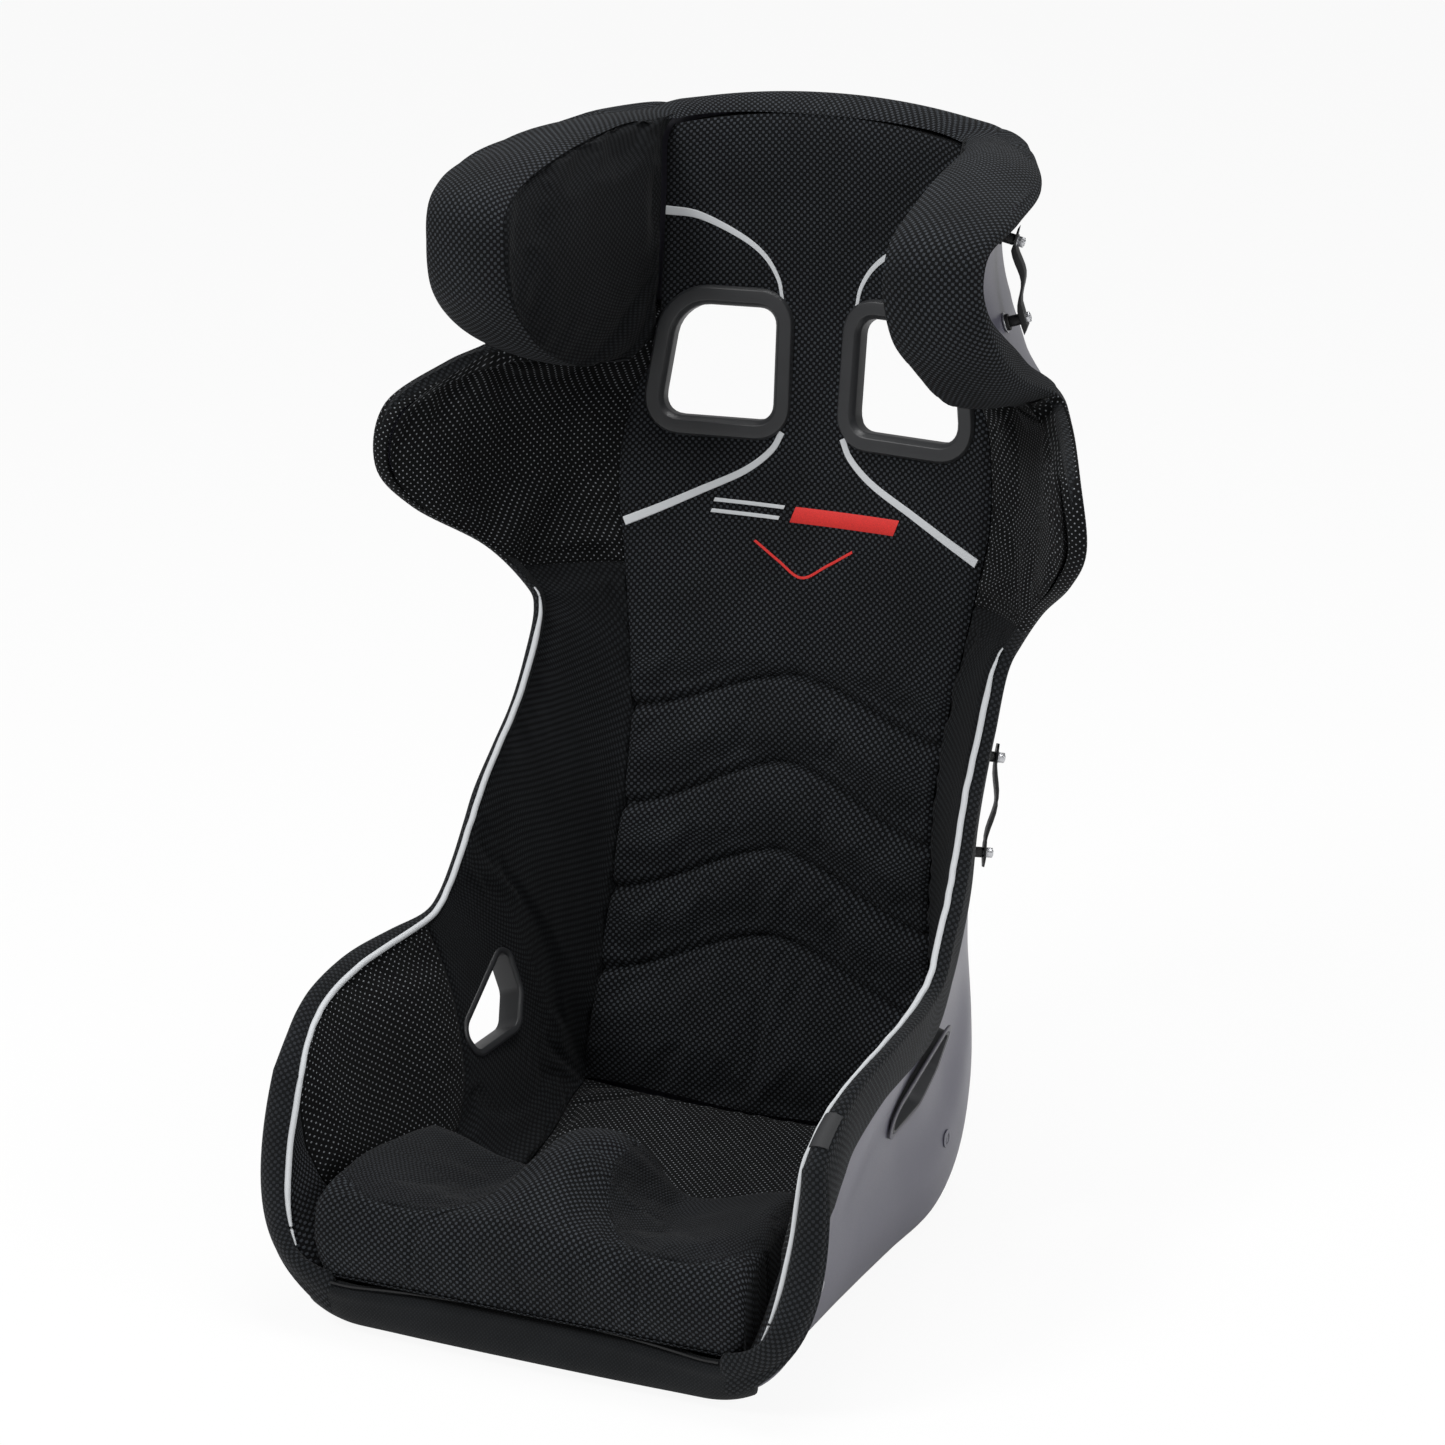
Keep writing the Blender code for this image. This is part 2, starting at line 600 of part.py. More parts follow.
def wing_corner(s):
    """Front corner of a head wing pad's inner face."""
    k = float(np.interp(s, WING_STATIONS, range(len(WING_STATIONS))))
    return hermite(WING_TABLE, k)


def make_wing_pad(name, side):
    """Thick head restraint pad: inner face, padded front and a back that follows the shell."""
    rows = stations(WING_START, WING_END)
    columns = (1.03, *ACROSS[4:])
    mirror = np.array([side, 1.0, 1.0])
    front, back = [], []
    for s in rows:
        start = pad_face(s, 1.0) + (SEAM, 0, 0)
        corner = wing_corner(s)
        front.append([start + (corner - start) * (v - 1.0) for v in columns])
        line = [skin(s, v, -WALL - PAD_GAP) for v in columns[:-1]]
        point, n, out = rim_frame((s, 2.0), (s, 1.85))
        line.append(point - (WALL + EDGE_GAP + 4.0) * n + 3.2 * out)
        back.append(line)
    front, back = np.array(front), np.array(back)
    sides = border_outward(back)
    near, far = border_points(front), border_points(back)
    puff = np.array([6.0 if j == len(columns) - 1 else 0.0 for _, j in ring_index(*front.shape[:2])])
    rings = []
    for f in (0.12, 0.5, 0.88):
        swell = (puff * math.sin(math.pi * min(max(f, 0.25), 0.75)))[:, None] * sides
        rings.append((near + (far - near) * f + swell) * mirror)
    return slab(name, front * mirror, back * mirror, waffle_knit(), rings, 60.0)


def leg_top(x, y, half):
    """Height of the leg-support cushion: a front lip, a centre hump and two thigh hollows."""
    along = (y - LEG_FRONT) / (LEG_REAR - LEG_FRONT)
    face = LEG_BASE + (LEG_LIP - LEG_BASE) * math.sin(0.5 * math.pi * min(along / 0.2, 1.0))
    hump = math.exp(-((x / POMMEL_HALF) ** 2))
    hump_height = np.interp(along, (0.0, 0.2, 0.55, 0.8, 1.0), (0, 0, 1, 1.02, 0.55))
    hollow = np.interp(along, (0.0, 0.2, 0.4, 1.0), (0, 0, 1, 1.1))
    u = abs(x) / half
    ridge = np.interp(u, (0.0, 0.3, 0.55, 0.8, 1.0), (0.6, 1.0, 1.0, 0.7, 0.1))
    height = face - (LEG_LIP - HOLLOW) * hollow * ridge
    return height + (POMMEL - height) * hump * hump_height if hump_height > 0 else height


def make_leg_cushion():
    """Removable leg-support cushion that sits on the base cushion between the thigh pads."""
    ys = [LEG_FRONT + f * (LEG_REAR - LEG_FRONT) for f in (0, 0.05, 0.12, 0.2, 0.32, 0.46, 0.6, 0.74, 0.87, 0.96, 1)]
    us = [-1.0, -0.9, -0.74, -0.56, -0.38, -0.25, -0.12, 0.0, 0.12, 0.25, 0.38, 0.56, 0.74, 0.9, 1.0]
    front, back = [], []
    for y in ys:
        s = float(np.interp(y, [row[0] for row in PAD_TABLE[1:8]], range(1, 8)))
        wall = np.array([pad_face(s, v) for v in np.linspace(1.0, 1.7, 30)])
        half = float(np.interp(80.0, wall[:, 2], wall[:, 0])) - 2.0
        front.append([np.array([u * half, y, leg_top(u * half, y, half)]) for u in us])
        row = []
        for u in us:
            x = u * half
            rise = float(np.interp(abs(x) + 2.0, wall[:, 0], wall[:, 2], left=0.0))
            row.append(np.array([x, y, max(LEG_BASE, rise + 3.0)]))
        back.append(row)
    front, back = np.array(front), np.array(back)
    front[..., 2] = np.maximum(front[..., 2], back[..., 2] + 3.0)
    return slab("leg_support_cushion", front, back, waffle_knit(), smooth=60.0)


# ---------------------------------------------------------------- trims
def rim_frame(rim, end):
    """Rim point, outward normal and direction out of the sheet, away from the end of the cover."""
    point = skin(*rim)
    n = skin(*rim, 1.0) - point
    n = n / np.linalg.norm(n)
    out = point - skin(*mix(rim, end, 0.3))
    out = out - n * (out @ n)
    along = None
    if rim[0] == LAST:
        along = skin(LAST, rim[1] + 0.1) - skin(LAST, rim[1] - 0.1)
    elif rim[0] > 1.0:
        along = skin(min(rim[0] + 0.4, LAST), 2.0) - skin(rim[0] - 0.4, 2.0)
    if along is not None:
        along = along - n * (along @ n)
        out = out - along * (out @ along) / (along @ along)
    return point, n, out / np.linalg.norm(out)


def mix(a, b, f):
    """The place f of the way from a to b."""
    return tuple(p + (q - p) * f for p, q in zip(a, b))


def trim_section(rim, end, width, lip, samples):
    """Closed section of a cover folded over a rim, from its end on the outer face.

    Width is how far the cover reaches inwards from the outer face, and lip is where its inner
    edge ends along the direction out of the sheet.
    """
    point, n, out = rim_frame(rim, end)
    leg = [mix(rim, end, f) for f in samples]
    under = WALL + EDGE_GAP

    def at(across_rim, above):
        return point + n * across_rim + out * above

    cap = [
        at(EDGE_GAP + COVER * 0.6, 3.0),
        at(-width * 0.5, max(7.5, lip + 7.5)),
        at(-width, max(4.5, lip + 5.4)),
        at(-width + 1.7, lip + 3.9),
        at(-max(width - 4.0, under + 0.3), lip - 0.5),
        at(-under, lip - 0.5),
        at(-under, EDGE_GAP),
        at(EDGE_GAP, EDGE_GAP),
    ]
    outer = [skin(*place, EDGE_GAP + COVER) for place in leg]
    inner = [skin(*place, EDGE_GAP) for place in leg]
    return outer + cap + inner[::-1]


def sweep(name, sections, finish, leg=0):
    """Closed body through sections that all have the same number of points.

    The first and last points of a section, as many as leg says, lie over the shell and split
    their quads the way it does.
    """
    size = len(sections[0])
    points = [p for section in sections for p in section]
    rank = [p[1] + p[2] + 0.5 * abs(p[0]) for p in points]
    faces = [tuple(range(size))[::-1], tuple((len(sections) - 1) * size + k for k in range(size))]
    for i in range(len(sections) - 1):
        for k in range(size):
            n = (k + 1) % size
            a, b = i * size + k, i * size + n
            rising = rank[a] < rank[b]
            if k < leg - 1 or size - leg <= k < size - 1:
                rising = k < leg
            if rising:
                faces += [(a, b, b + size), (a, b + size, a + size)]
            else:
                faces += [(a, b, a + size), (b, b + size, a + size)]
    return add_mesh(name, points, faces, finish, 50.0)


def bolster_path():
    """Places along the front edge of a bolster and its rim, each with the place where the cover ends."""
    front = [(0.0, v) for v in (1.22, 1.3, 1.48, 1.66, 1.78, 1.85, 1.93)]
    path = [(place, (0.8, min(place[1], 1.84) - 0.02)) for place in front]
    path.append(((0.0, 2.0), (0.95, 1.85)))
    for s in stations(0.0, SHOULDER_END)[1:]:
        path.append(((s, 2.0), (max(s, 0.95 + 0.6 * s), 1.85) if s < 2.3 else (s, 1.85)))
    return path


def padded_edge(rim, end):
    """How far inwards and out of the sheet the padded face's edge lies from the shell's rim."""
    point, n, out = rim_frame(rim, end)
    reach = pad_face(*rim) - point
    return max(-float(reach @ n), WALL + EDGE_GAP + 4.4), float(reach @ out)


def side_trim(name, side):
    """Cover over the front edge and the rim of one bolster, up to the shoulder."""
    mirror = np.array([side, 1.0, 1.0])
    sections = []
    for rim, end in bolster_path():
        width, lip = padded_edge(rim, end)
        sections.append([p * mirror for p in trim_section(rim, end, width, lip, (1.0, 0.55, 0.1))])
    return sweep(name, sections, edge_cloth())


def wing_trim(name, side):
    """Cover over the rim of a head wing."""
    mirror = np.array([side, 1.0, 1.0])
    sections = []
    for s in stations(WING_START, WING_END):
        section = trim_section((s, 2.0), (s, 1.9), WALL + EDGE_GAP + 2.6, 0.6, (1.0, 0.1))
        sections.append([p * mirror for p in section])
    return sweep(name, sections, edge_cloth(), 2)


def end_trim(name, row, inner_row, span, width, lip, samples):
    """Cover over the front lip or the top edge, with a narrow fold where the sides begin."""
    sections = []
    for v in [-v for v in reversed(span)] + list(span[1:]):
        narrow = WALL + EDGE_GAP + 2.6
        reach = float(np.interp(abs(v), (0.8, 0.97), (width, narrow)))
        drop = float(np.interp(abs(v), (0.8, 0.97), (lip, 0.0)))
        sections.append(trim_section((row, v), (inner_row, v), reach, drop, samples))
    return sweep(name, sections, edge_cloth())


def make_piping(name, side):
    """Reflective cord sewn along the inner edge of the bolster's cover."""
    mirror = np.array([side, 1.0, 1.0])
    sections = []
    for rim, end in bolster_path():
        if rim[1] < PIPE_START:
            continue
        if rim[0] > PIPE_END:
            break
        point, n, out = rim_frame(rim, end)
        width, lip = padded_edge(rim, end)
        centre = point - n * width + out * lip
        turns = [2 * math.pi * k / 6 for k in range(6)]
        ring = [centre + PIPE_R * (n * math.cos(a) + out * math.sin(a)) for a in turns]
        sections.append([p * mirror for p in ring])
    return sweep(name, sections, reflective_cord())


# ---------------------------------------------------------------- slots
def rounded_outline(corners, radii, per_corner=5):
    """Points round a convex outline with rounded corners, anticlockwise, in its own plane."""
    points = []
    count = len(corners)
    for k in range(count):
        here = np.array(corners[k], float)
        to_last = np.array(corners[k - 1], float) - here
        to_next = np.array(corners[(k + 1) % count], float) - here
        to_last /= np.linalg.norm(to_last)
        to_next /= np.linalg.norm(to_next)
        half = 0.5 * math.acos(float(to_last @ to_next))
        run = radii[k] / math.tan(half)
        bisector = (to_last + to_next) / np.linalg.norm(to_last + to_next)
        centre = here + bisector * (radii[k] / math.sin(half))
        first = here + to_last * run - centre
        last = here + to_next * run - centre
        start = math.atan2(first[1], first[0])
        turn = (math.atan2(last[1], last[0]) - start + math.pi) % (2 * math.pi) - math.pi
        for f in np.linspace(0, 1, per_corner):
            angle = start + turn * f
            points.append(centre + radii[k] * np.array([math.cos(angle), math.sin(angle)]))
    return np.array(points)


def offset_outline(points, amount):
    """The outline moved outwards."""
    ahead = np.roll(points, -1, axis=0) - np.roll(points, 1, axis=0)
    out = np.stack([ahead[:, 1], -ahead[:, 0]], axis=1)
    out /= np.linalg.norm(out, axis=1)[:, None]
    return points + out * amount


class Plane:
    """Local plane of a slot: right and up lie in it, and facing points at the driver."""

    def __init__(self, origin, right, up, facing):
        self.origin = np.array(origin, float)
        self.right = np.array(right, float)
        self.up = np.array(up, float)
        self.facing = np.array(facing, float)

    def place(self, outline, height):
        return [self.origin + self.right * p[0] + self.up * p[1] + self.facing * height for p in outline]


def ring_body(name, plane, loops, finish):
    """Closed ring through loops of (outline, height), the last joined to the first."""
    size = len(loops[0][0])
    points = [p for outline, height in loops for p in plane.place(outline, height)]
    faces = []
    for i in range(len(loops)):
        j = (i + 1) % len(loops)
        for k in range(size):
            n = (k + 1) % size
            faces.append((i * size + k, i * size + n, j * size + n, j * size + k))
    return add_mesh(name, points, faces, finish, 35.0)


def prism(name, plane, outline, low, high):
    """Solid of an outline between two heights, used as a cutter."""
    size = len(outline)
    points = plane.place(outline, low) + plane.place(outline, high)
    faces = [tuple(range(size)), tuple(range(size, 2 * size))[::-1]]
    faces += [(k, (k + 1) % size, size + (k + 1) % size, size + k) for k in range(size)]
    return add_mesh(name, points, faces, None)


def stepped_prism(name, plane, narrow, wide, low, step, high):
    """Solid of a narrow outline up to a step and of a wide one above it, used as a cutter."""
    size = len(narrow)
    loops = ((narrow, low), (narrow, step), (wide, step), (wide, high))
    points = [p for outline, height in loops for p in plane.place(outline, height)]
    faces = [tuple(range(size)), tuple(range(3 * size, 4 * size))[::-1]]
    for i in range(3):
        for k in range(size):
            a, b = i * size + k, i * size + (k + 1) % size
            faces.append((a, b, b + size, a + size))
    return add_mesh(name, points, faces, None)


def bezel(name, plane, opening, face, thick, depth):
    """Moulded frame: a face round the opening and a sleeve that runs through to the back."""
    wide = offset_outline(opening, face)
    sleeve = offset_outline(opening, SLEEVE)
    loops = [
        (opening, thick * 0.55),
        (offset_outline(opening, 3.0), thick),
        (offset_outline(opening, face - 2.0), thick),
        (wide, 0.0),
        (sleeve, 0.0),
        (sleeve, -depth),
        (opening, -depth),
    ]
    return ring_body(name, plane, loops, moulded_plastic())


def clamp_ring(name, plane, opening, face, thick, height):
    """Ring behind the shell, round the sleeve's end."""
    inner = offset_outline(opening, SLEEVE + PART_GAP)
    wide = offset_outline(opening, face)
    loops = [
        (inner, height),
        (wide, height),
        (offset_outline(opening, face - 1.2), height - thick),
        (inner, height - thick),
    ]
    return ring_body(name, plane, loops, moulded_plastic())


def mirrored(outline, side):
    """The outline for this side, still anticlockwise."""
    return outline if side > 0 else (outline * (-1.0, 1.0))[::-1]


def seat_height(plane, face, outline, s_range, v_range):
    """Lowest and highest reach of a face over an outline, along the plane's facing direction."""
    heights = []
    low, high = outline.min(axis=0) - 2.0, outline.max(axis=0) + 2.0
    for s in np.linspace(*s_range, 40):
        for v in np.linspace(*v_range, 40):
            local = face(s, v) - plane.origin
            x, y = local @ plane.right, local @ plane.up
            if low[0] <= x <= high[0] and low[1] <= y <= high[1]:
                heights.append(local @ plane.facing)
    return min(heights), max(heights)


def shoulder_slot(side, label, shell, cushion):
    """Bezel and clamping ring of one shoulder-belt slot, with their cuts."""
    lean = math.radians(SLOT_LEAN)
    half_w, half_h = SLOT_W / 2, SLOT_H / 2
    corners = [(-half_w, -half_h), (half_w, -half_h), (half_w - 14, half_h), (-half_w, half_h)]
    opening = mirrored(rounded_outline(corners, (13, 15, 30, 13)), side)
    plane = Plane(
        (side * SLOT_X, 0, SLOT_Z),
        (1, 0, 0),
        (0, math.sin(lean), math.cos(lean)),
        (0, -math.cos(lean), math.sin(lean)),
    )
    spot = station_of_height(pad_face, SLOT_Z, 0.58)
    plane.origin = pad_face(spot, side * SLOT_X / pad_face(spot, 1.0)[0]) + plane.facing * 0.5
    wide = offset_outline(opening, BEZEL_FACE + 2)
    reach = (spot - 2.4, spot + 2.4), (side * 0.02, side * 1.1)
    back_low, back_high = seat_height(plane, shell_face, wide, *reach)
    depth = -back_low + 2.0
    bezel("shoulder_slot_bezel_" + label, plane, opening, BEZEL_FACE, BEZEL_T, depth)
    ring_height = back_low - PART_GAP
    clamp_ring("shoulder_slot_ring_" + label, plane, opening, BEZEL_FACE, 2.6, ring_height)
    through = offset_outline(opening, SLEEVE + PART_GAP)
    hole = prism("slot_hole_" + label, plane, through, -depth - 20, 20)
    wide = offset_outline(opening, BEZEL_FACE + 0.6)
    cut(shell, hole)
    cut(cushion, stepped_prism("slot_pocket_" + label, plane, through, wide, -depth - 20, -PART_GAP, 30))


def lap_slot(side, label, shell, cushion):
    """Bezel and outer ring of one lap-belt slot, with their cuts."""
    corners = [(-40, -32), (20, -32), (37, -8), (37, 23), (29, 29), (-50, -11)]
    opening = rounded_outline(corners, (9, 12, 12, 6, 6, 12), 4)
    flip = np.array([side, 1.0, 1.0])
    s, v = spot_on_wall(LAP_Y, LAP_Z)
    n = normal(shell_face, s, v)
    right = np.array([0.0, 1.0, 0.0]) - n * n[1]
    right /= np.linalg.norm(right)
    up = np.cross(n, right)
    up *= math.copysign(1.0, up[2])
    plane = Plane(shell_face(s, v) * flip, right * flip, up * flip, -n * flip)
    reach = (s - 2.5, s + 2.5), (side * 1.1, side * 1.98)
    shell_low, _ = seat_height(plane, shell_face, offset_outline(opening, LAP_RING), *reach)
    _, pad_high = seat_height(plane, pad_face, offset_outline(opening, LAP_FACE), *reach)
    face_height = pad_high - 3.0
    plane.origin = plane.origin + plane.facing * face_height
    depth = face_height - shell_low + 2.2
    bezel("lap_slot_bezel_" + label, plane, opening, LAP_FACE, 2.4, depth)
    clamp_ring("lap_slot_ring_" + label, plane, opening, LAP_RING, 2.6, 2.2 - depth - PART_GAP)
    through, wide = offset_outline(opening, SLEEVE + PART_GAP), offset_outline(opening, LAP_FACE + 0.6)
    cut(shell, prism("lap_hole_" + label, plane, through, -depth - 20, 30))
    cut(cushion, stepped_prism("lap_pocket_" + label, plane, through, wide, -depth - 20, -PART_GAP, 40))


def spot_on_wall(y, z):
    """Station and place across of the point on the shell's right wall at this y and z."""
    s, v, s_step, v_step = 14.0, 1.5, 1.75, 0.06
    for _ in range(7):
        tries = [(s + i * s_step, v + j * v_step) for i in range(-8, 9) for j in range(-8, 9)]
        tries = [(min(max(a, 0.0), LAST), min(max(b, 1.02), 1.98)) for a, b in tries]
        s, v = min(tries, key=lambda place: np.hypot(*(shell_face(*place)[1:] - (y, z))))
        s_step, v_step = s_step / 3, v_step / 3
    return s, v


# ---------------------------------------------------------------- hardware
def lathe(name, place, axis, profile, sides, finish, smooth=35.0):
    """Body turned from (radius, height) pairs, a closed profile or one that starts and ends on the axis."""
    turn = Vector((0, 0, 1)).rotation_difference(Vector(axis)).to_matrix()
    points, faces = [], []
    open_ends = profile[0][0] == 0.0
    rings = profile[1:-1] if open_ends else profile
    for radius, height in rings:
        for k in range(sides):
            angle = 2 * math.pi * k / sides
            local = Vector((radius * math.cos(angle), radius * math.sin(angle), height))
            points.append(np.array(turn @ local) + place)
    count = len(rings)
    for i in range(count if not open_ends else count - 1):
        j = (i + 1) % count
        for k in range(sides):
            n = (k + 1) % sides
            faces.append((i * sides + k, i * sides + n, j * sides + n, j * sides + k))
    if open_ends:
        faces.append(tuple(range(sides))[::-1])
        faces.append(tuple((count - 1) * sides + k for k in range(sides)))
    return add_mesh(name, points, faces, finish, smooth)


class Facets:
    """The shell's facets, for hardware to be set down on."""

    def __init__(self, shell):
        mesh = shell.data
        corners = [vertex.co.copy() for vertex in mesh.vertices]
        self.tree = BVHTree.FromPolygons(corners, [tuple(face.vertices) for face in mesh.polygons])

    def rise(self, place, axis, radius):
        """How far the facets rise along the axis within this radius of the place."""
        across_axis = np.cross(axis, (0.0, 0.0, 1.0))
        across_axis /= np.linalg.norm(across_axis)
        third = np.cross(axis, across_axis)
        heights = []
        for k in range(12 if radius else 1):
            angle = 2 * math.pi * k / 12
            start = place + radius * (across_axis * math.cos(angle) + third * math.sin(angle))
            hit = self.tree.ray_cast(Vector((start + axis * 20) * MM), Vector(-axis), 40 * MM)[0]
            heights.append(float((np.array(hit) / MM - place) @ axis))
        return max(heights)

    def stand(self, side, y, z):
        """Place on the shell's facets at this y and z, and the way out of the shell there."""
        s, v = spot_on_wall(y, z)
        flip = np.array([side, 1.0, 1.0])
        place, axis = shell_face(s, v) * flip, normal(shell_face, s, v) * flip
        return place + axis * self.rise(place, axis, 0.0), axis


def make_insert(name, side, y, shell, facets, flanged):
    """Threaded insert in the shell's wall for a side mount, flush where the cover lies over it."""
    place, axis = facets.stand(side, y, INSERT_Z)
    foot = 0.3 - WALL
    profile = [(INSERT_R, -0.1), (INSERT_R, foot), (INSERT_BORE_R, foot), (INSERT_BORE_R, -0.1)]
    if flanged:
        seat = facets.rise(place, axis, INSERT_FLANGE_R) + PART_GAP
        top = seat + INSERT_PROUD
        profile = [(INSERT_FLANGE_R, top), (INSERT_FLANGE_R, seat), (INSERT_R, seat), *profile[1:3], (INSERT_BORE_R, top)]
    lathe(name, place, axis, profile, 16, zinc_steel())
    bore = INSERT_R + PART_GAP
    cut(shell, lathe(name + "_hole", place, axis, [(0, 12), (bore, 12), (bore, -12), (0, -12)], 16, None))


def strap_pair(side, label, upper, lower, shell, facets):
    """Two studs through the shell with a washer, spacer and nut each, and the strap between them."""
    seats = []
    for tag, (y, z) in (("top", upper), ("foot", lower)):
        place, axis = facets.stand(side, y, z)
        stem = f"{label}_{tag}"
        seat = facets.rise(place, axis, WASHER_R) + PART_GAP
        top = seat + WASHER_T + SPACER_L
        nut_seat = top + STRAP_T + 2 * PART_GAP
        end = nut_seat + NUT_T + 2.2
        floor = 0.6 - WALL
        bore = STUD_R + PART_GAP
        bolt = [(0, end), (STUD_R, end), (STUD_R, floor + STUD_HEAD), (STUD_HEAD_R, floor + STUD_HEAD)]
        bolt += [(STUD_HEAD_R, floor), (0, floor)]
        lathe("strap_bolt_" + stem, place, axis, bolt, 8, zinc_steel())
        spacer = [(bore, top), (SPACER_R, top), (SPACER_R, seat + WASHER_T), (WASHER_R, seat + WASHER_T)]
        spacer += [(WASHER_R, seat), (bore, seat)]
        lathe("strap_spacer_" + stem, place, axis, spacer, 8, black_plastic())
        hex_bore = bore / math.cos(math.pi / 6)
        nut = [(hex_bore, nut_seat + NUT_T), (NUT_R, nut_seat + NUT_T), (NUT_R, nut_seat), (hex_bore, nut_seat)]
        lathe("strap_nut_" + stem, place, axis, nut, 6, zinc_steel())
        wide, step = STUD_HEAD_R + PART_GAP, floor + STUD_HEAD + PART_GAP
        socket = [(0, 20), (bore, 20), (bore, step), (wide, step), (wide, -WALL - 6), (0, -WALL - 6)]
        cut(shell, lathe("bolt_hole_" + stem, place, axis, socket, 8, None))
        seats.append((place + axis * (top + PART_GAP), axis))
    make_strap("strap_" + label, seats)


def make_strap(name, seats):
    """Flat strap over two studs, bowed outwards between them, with a short tail past each."""
    (p0, a0), (p1, a1) = seats
    run = p1 - p0
    d0, d1 = (run - a * (run @ a) for a in (a0, a1))
    d0, d1 = d0 / np.linalg.norm(d0), d1 / np.linalg.norm(d1)
    flat = SPACER_R + 3
    start, end = p0 + d0 * flat, p1 - d1 * flat
    line = [(p0 - d0 * STRAP_TAIL, a0), (start, a0)]
    for f in (0.2, 0.4, 0.6, 0.8):
        axis = a0 + (a1 - a0) * f
        axis = axis / np.linalg.norm(axis)
        line.append((start + (end - start) * f + axis * STRAP_BOW * math.sin(math.pi * f) ** 2, axis))
    line += [(end, a1), (p1 + d1 * STRAP_TAIL, a1)]
    sections = []
    for base, axis in line:
        width = np.cross(d0 + d1, axis)
        width *= STRAP_W / 2 / np.linalg.norm(width)
        thick = axis * STRAP_T
        sections.append([base - width, base + width, base + width + thick, base - width + thick])
    strap = sweep(name, sections, black_plastic())
    bore = STUD_R + PART_GAP
    for k, (place, axis) in enumerate(seats):
        hole = [(0, 12), (bore, 12), (bore, -12), (0, -12)]
        cut(strap, lathe(f"{name}_hole_{k}", place, axis, hole, 10, None))


# ---------------------------------------------------------------- assembly
def crotch_slot(shell, cushion):
    """Slot through the pan and the base cushion for the crotch straps."""
    half_w, half_l = CROTCH_W / 2, CROTCH_L / 2
    corners = [(-half_w, -half_l), (half_w, -half_l), (half_w, half_l), (-half_w, half_l)]
    opening = rounded_outline(corners, (11, 11, 11, 11), 4)
    plane = Plane((0, CROTCH_Y, 0), (1, 0, 0), (0, 1, 0), (0, 0, 1))
    cutter = prism("crotch_hole", plane, opening, -20, PAN_PAD + 20)
    cut(shell, cutter)
    cut(cushion, cutter)


def clear_scene():
    for old in list(bpy.data.objects):
        bpy.data.objects.remove(old)


def main():
    clear_scene()
    shell = make_shell()
    facets = Facets(shell)
    base = make_base_cushion()
    back = make_back_cushion()
    make_leg_cushion()
    crotch_slot(shell, base)
    for side, label in ((-1, "left"), (1, "right")):
        wall_pad("thigh_pad_" + label, side, THIGH_START, THIGH_END, grip_fabric(), CORD_GAP, THIGH_START_LOW)
        side_pad = wall_pad("side_pad_" + label, side, THIGH_END, SIDE_END, smooth_knit(), CORD_GAP)
        wall_pad("shoulder_pad_" + label, side, SIDE_END, SHOULDER_END, grip_fabric(), 6.0)
        make_wing_pad("head_wing_pad_" + label, side)
        side_trim("edge_trim_" + label, side)
        wing_trim("wing_trim_" + label, side)
        make_piping("piping_" + label, side)
        shoulder_slot(side, label, shell, back)
        lap_slot(side, label, shell, side_pad)
        make_insert("side_insert_rear_" + label, side, INSERT_Y, shell, facets, True)
        make_insert("side_insert_front_" + label, side, INSERT_Y - INSERT_PITCH, shell, facets, False)
        strap_pair(side, "wing_" + label, WING_STUDS[0], WING_STUDS[1], shell, facets)
        strap_pair(side, "waist_" + label, WAIST_STUDS[0], WAIST_STUDS[1], shell, facets)
    middle = (0.0, 0.17, 0.34, 0.51, 0.68, 0.8, 0.97, 1.0, 1.14)
    end_trim("front_trim", 0, 1.3, middle + (1.17,), 14.0, -5.0, (1.0, 0.7, 0.35, 0.03))
    end_trim("top_trim", LAST, WING_END, middle + (1.3, 1.48, 1.66), 26.0, -8.0, (1.0, 0.06))


if __name__ == "__main__":
    main()
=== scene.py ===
"""Competition bucket seat dressed in knitted covers over its moulded shell.

The seat faces -Y, +Z is up and X = 0 is its plane of symmetry. Lengths are millimetres here and
become metres where a mesh is made, except where a name says metres.
"""

import logging
import math
from dataclasses import dataclass, field
from enum import Enum

import bmesh
import bpy
import numpy as np
from mathutils import Matrix, Vector


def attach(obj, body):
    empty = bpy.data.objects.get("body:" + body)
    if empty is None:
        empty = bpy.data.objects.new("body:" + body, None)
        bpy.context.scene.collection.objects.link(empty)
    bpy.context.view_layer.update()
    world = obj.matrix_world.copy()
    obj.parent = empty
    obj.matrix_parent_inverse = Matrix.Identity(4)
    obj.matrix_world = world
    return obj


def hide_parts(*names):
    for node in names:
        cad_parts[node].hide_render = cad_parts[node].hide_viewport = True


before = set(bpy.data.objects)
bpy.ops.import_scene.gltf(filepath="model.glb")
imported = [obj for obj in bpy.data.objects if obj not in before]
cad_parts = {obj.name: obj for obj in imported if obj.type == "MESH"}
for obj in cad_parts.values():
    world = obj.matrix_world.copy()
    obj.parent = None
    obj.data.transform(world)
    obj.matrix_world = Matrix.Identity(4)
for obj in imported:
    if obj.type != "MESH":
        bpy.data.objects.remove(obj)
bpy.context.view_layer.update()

MM = 0.001
CLOTH_FRAMES = 16
LOG = logging.getLogger("seat")
Array = np.ndarray
Place = tuple[float, float]


class Side(Enum):
    """Side of the seat, by the sign of its x."""

    LEFT = -1
    RIGHT = 1

    @property
    def label(self) -> str:
        """Word used in the names of nodes and pieces."""
        return self.name.lower()

    @property
    def flip(self) -> Array:
        """Factors that carry a point of the right half to this side."""
        return np.array([float(self.value), 1.0, 1.0])


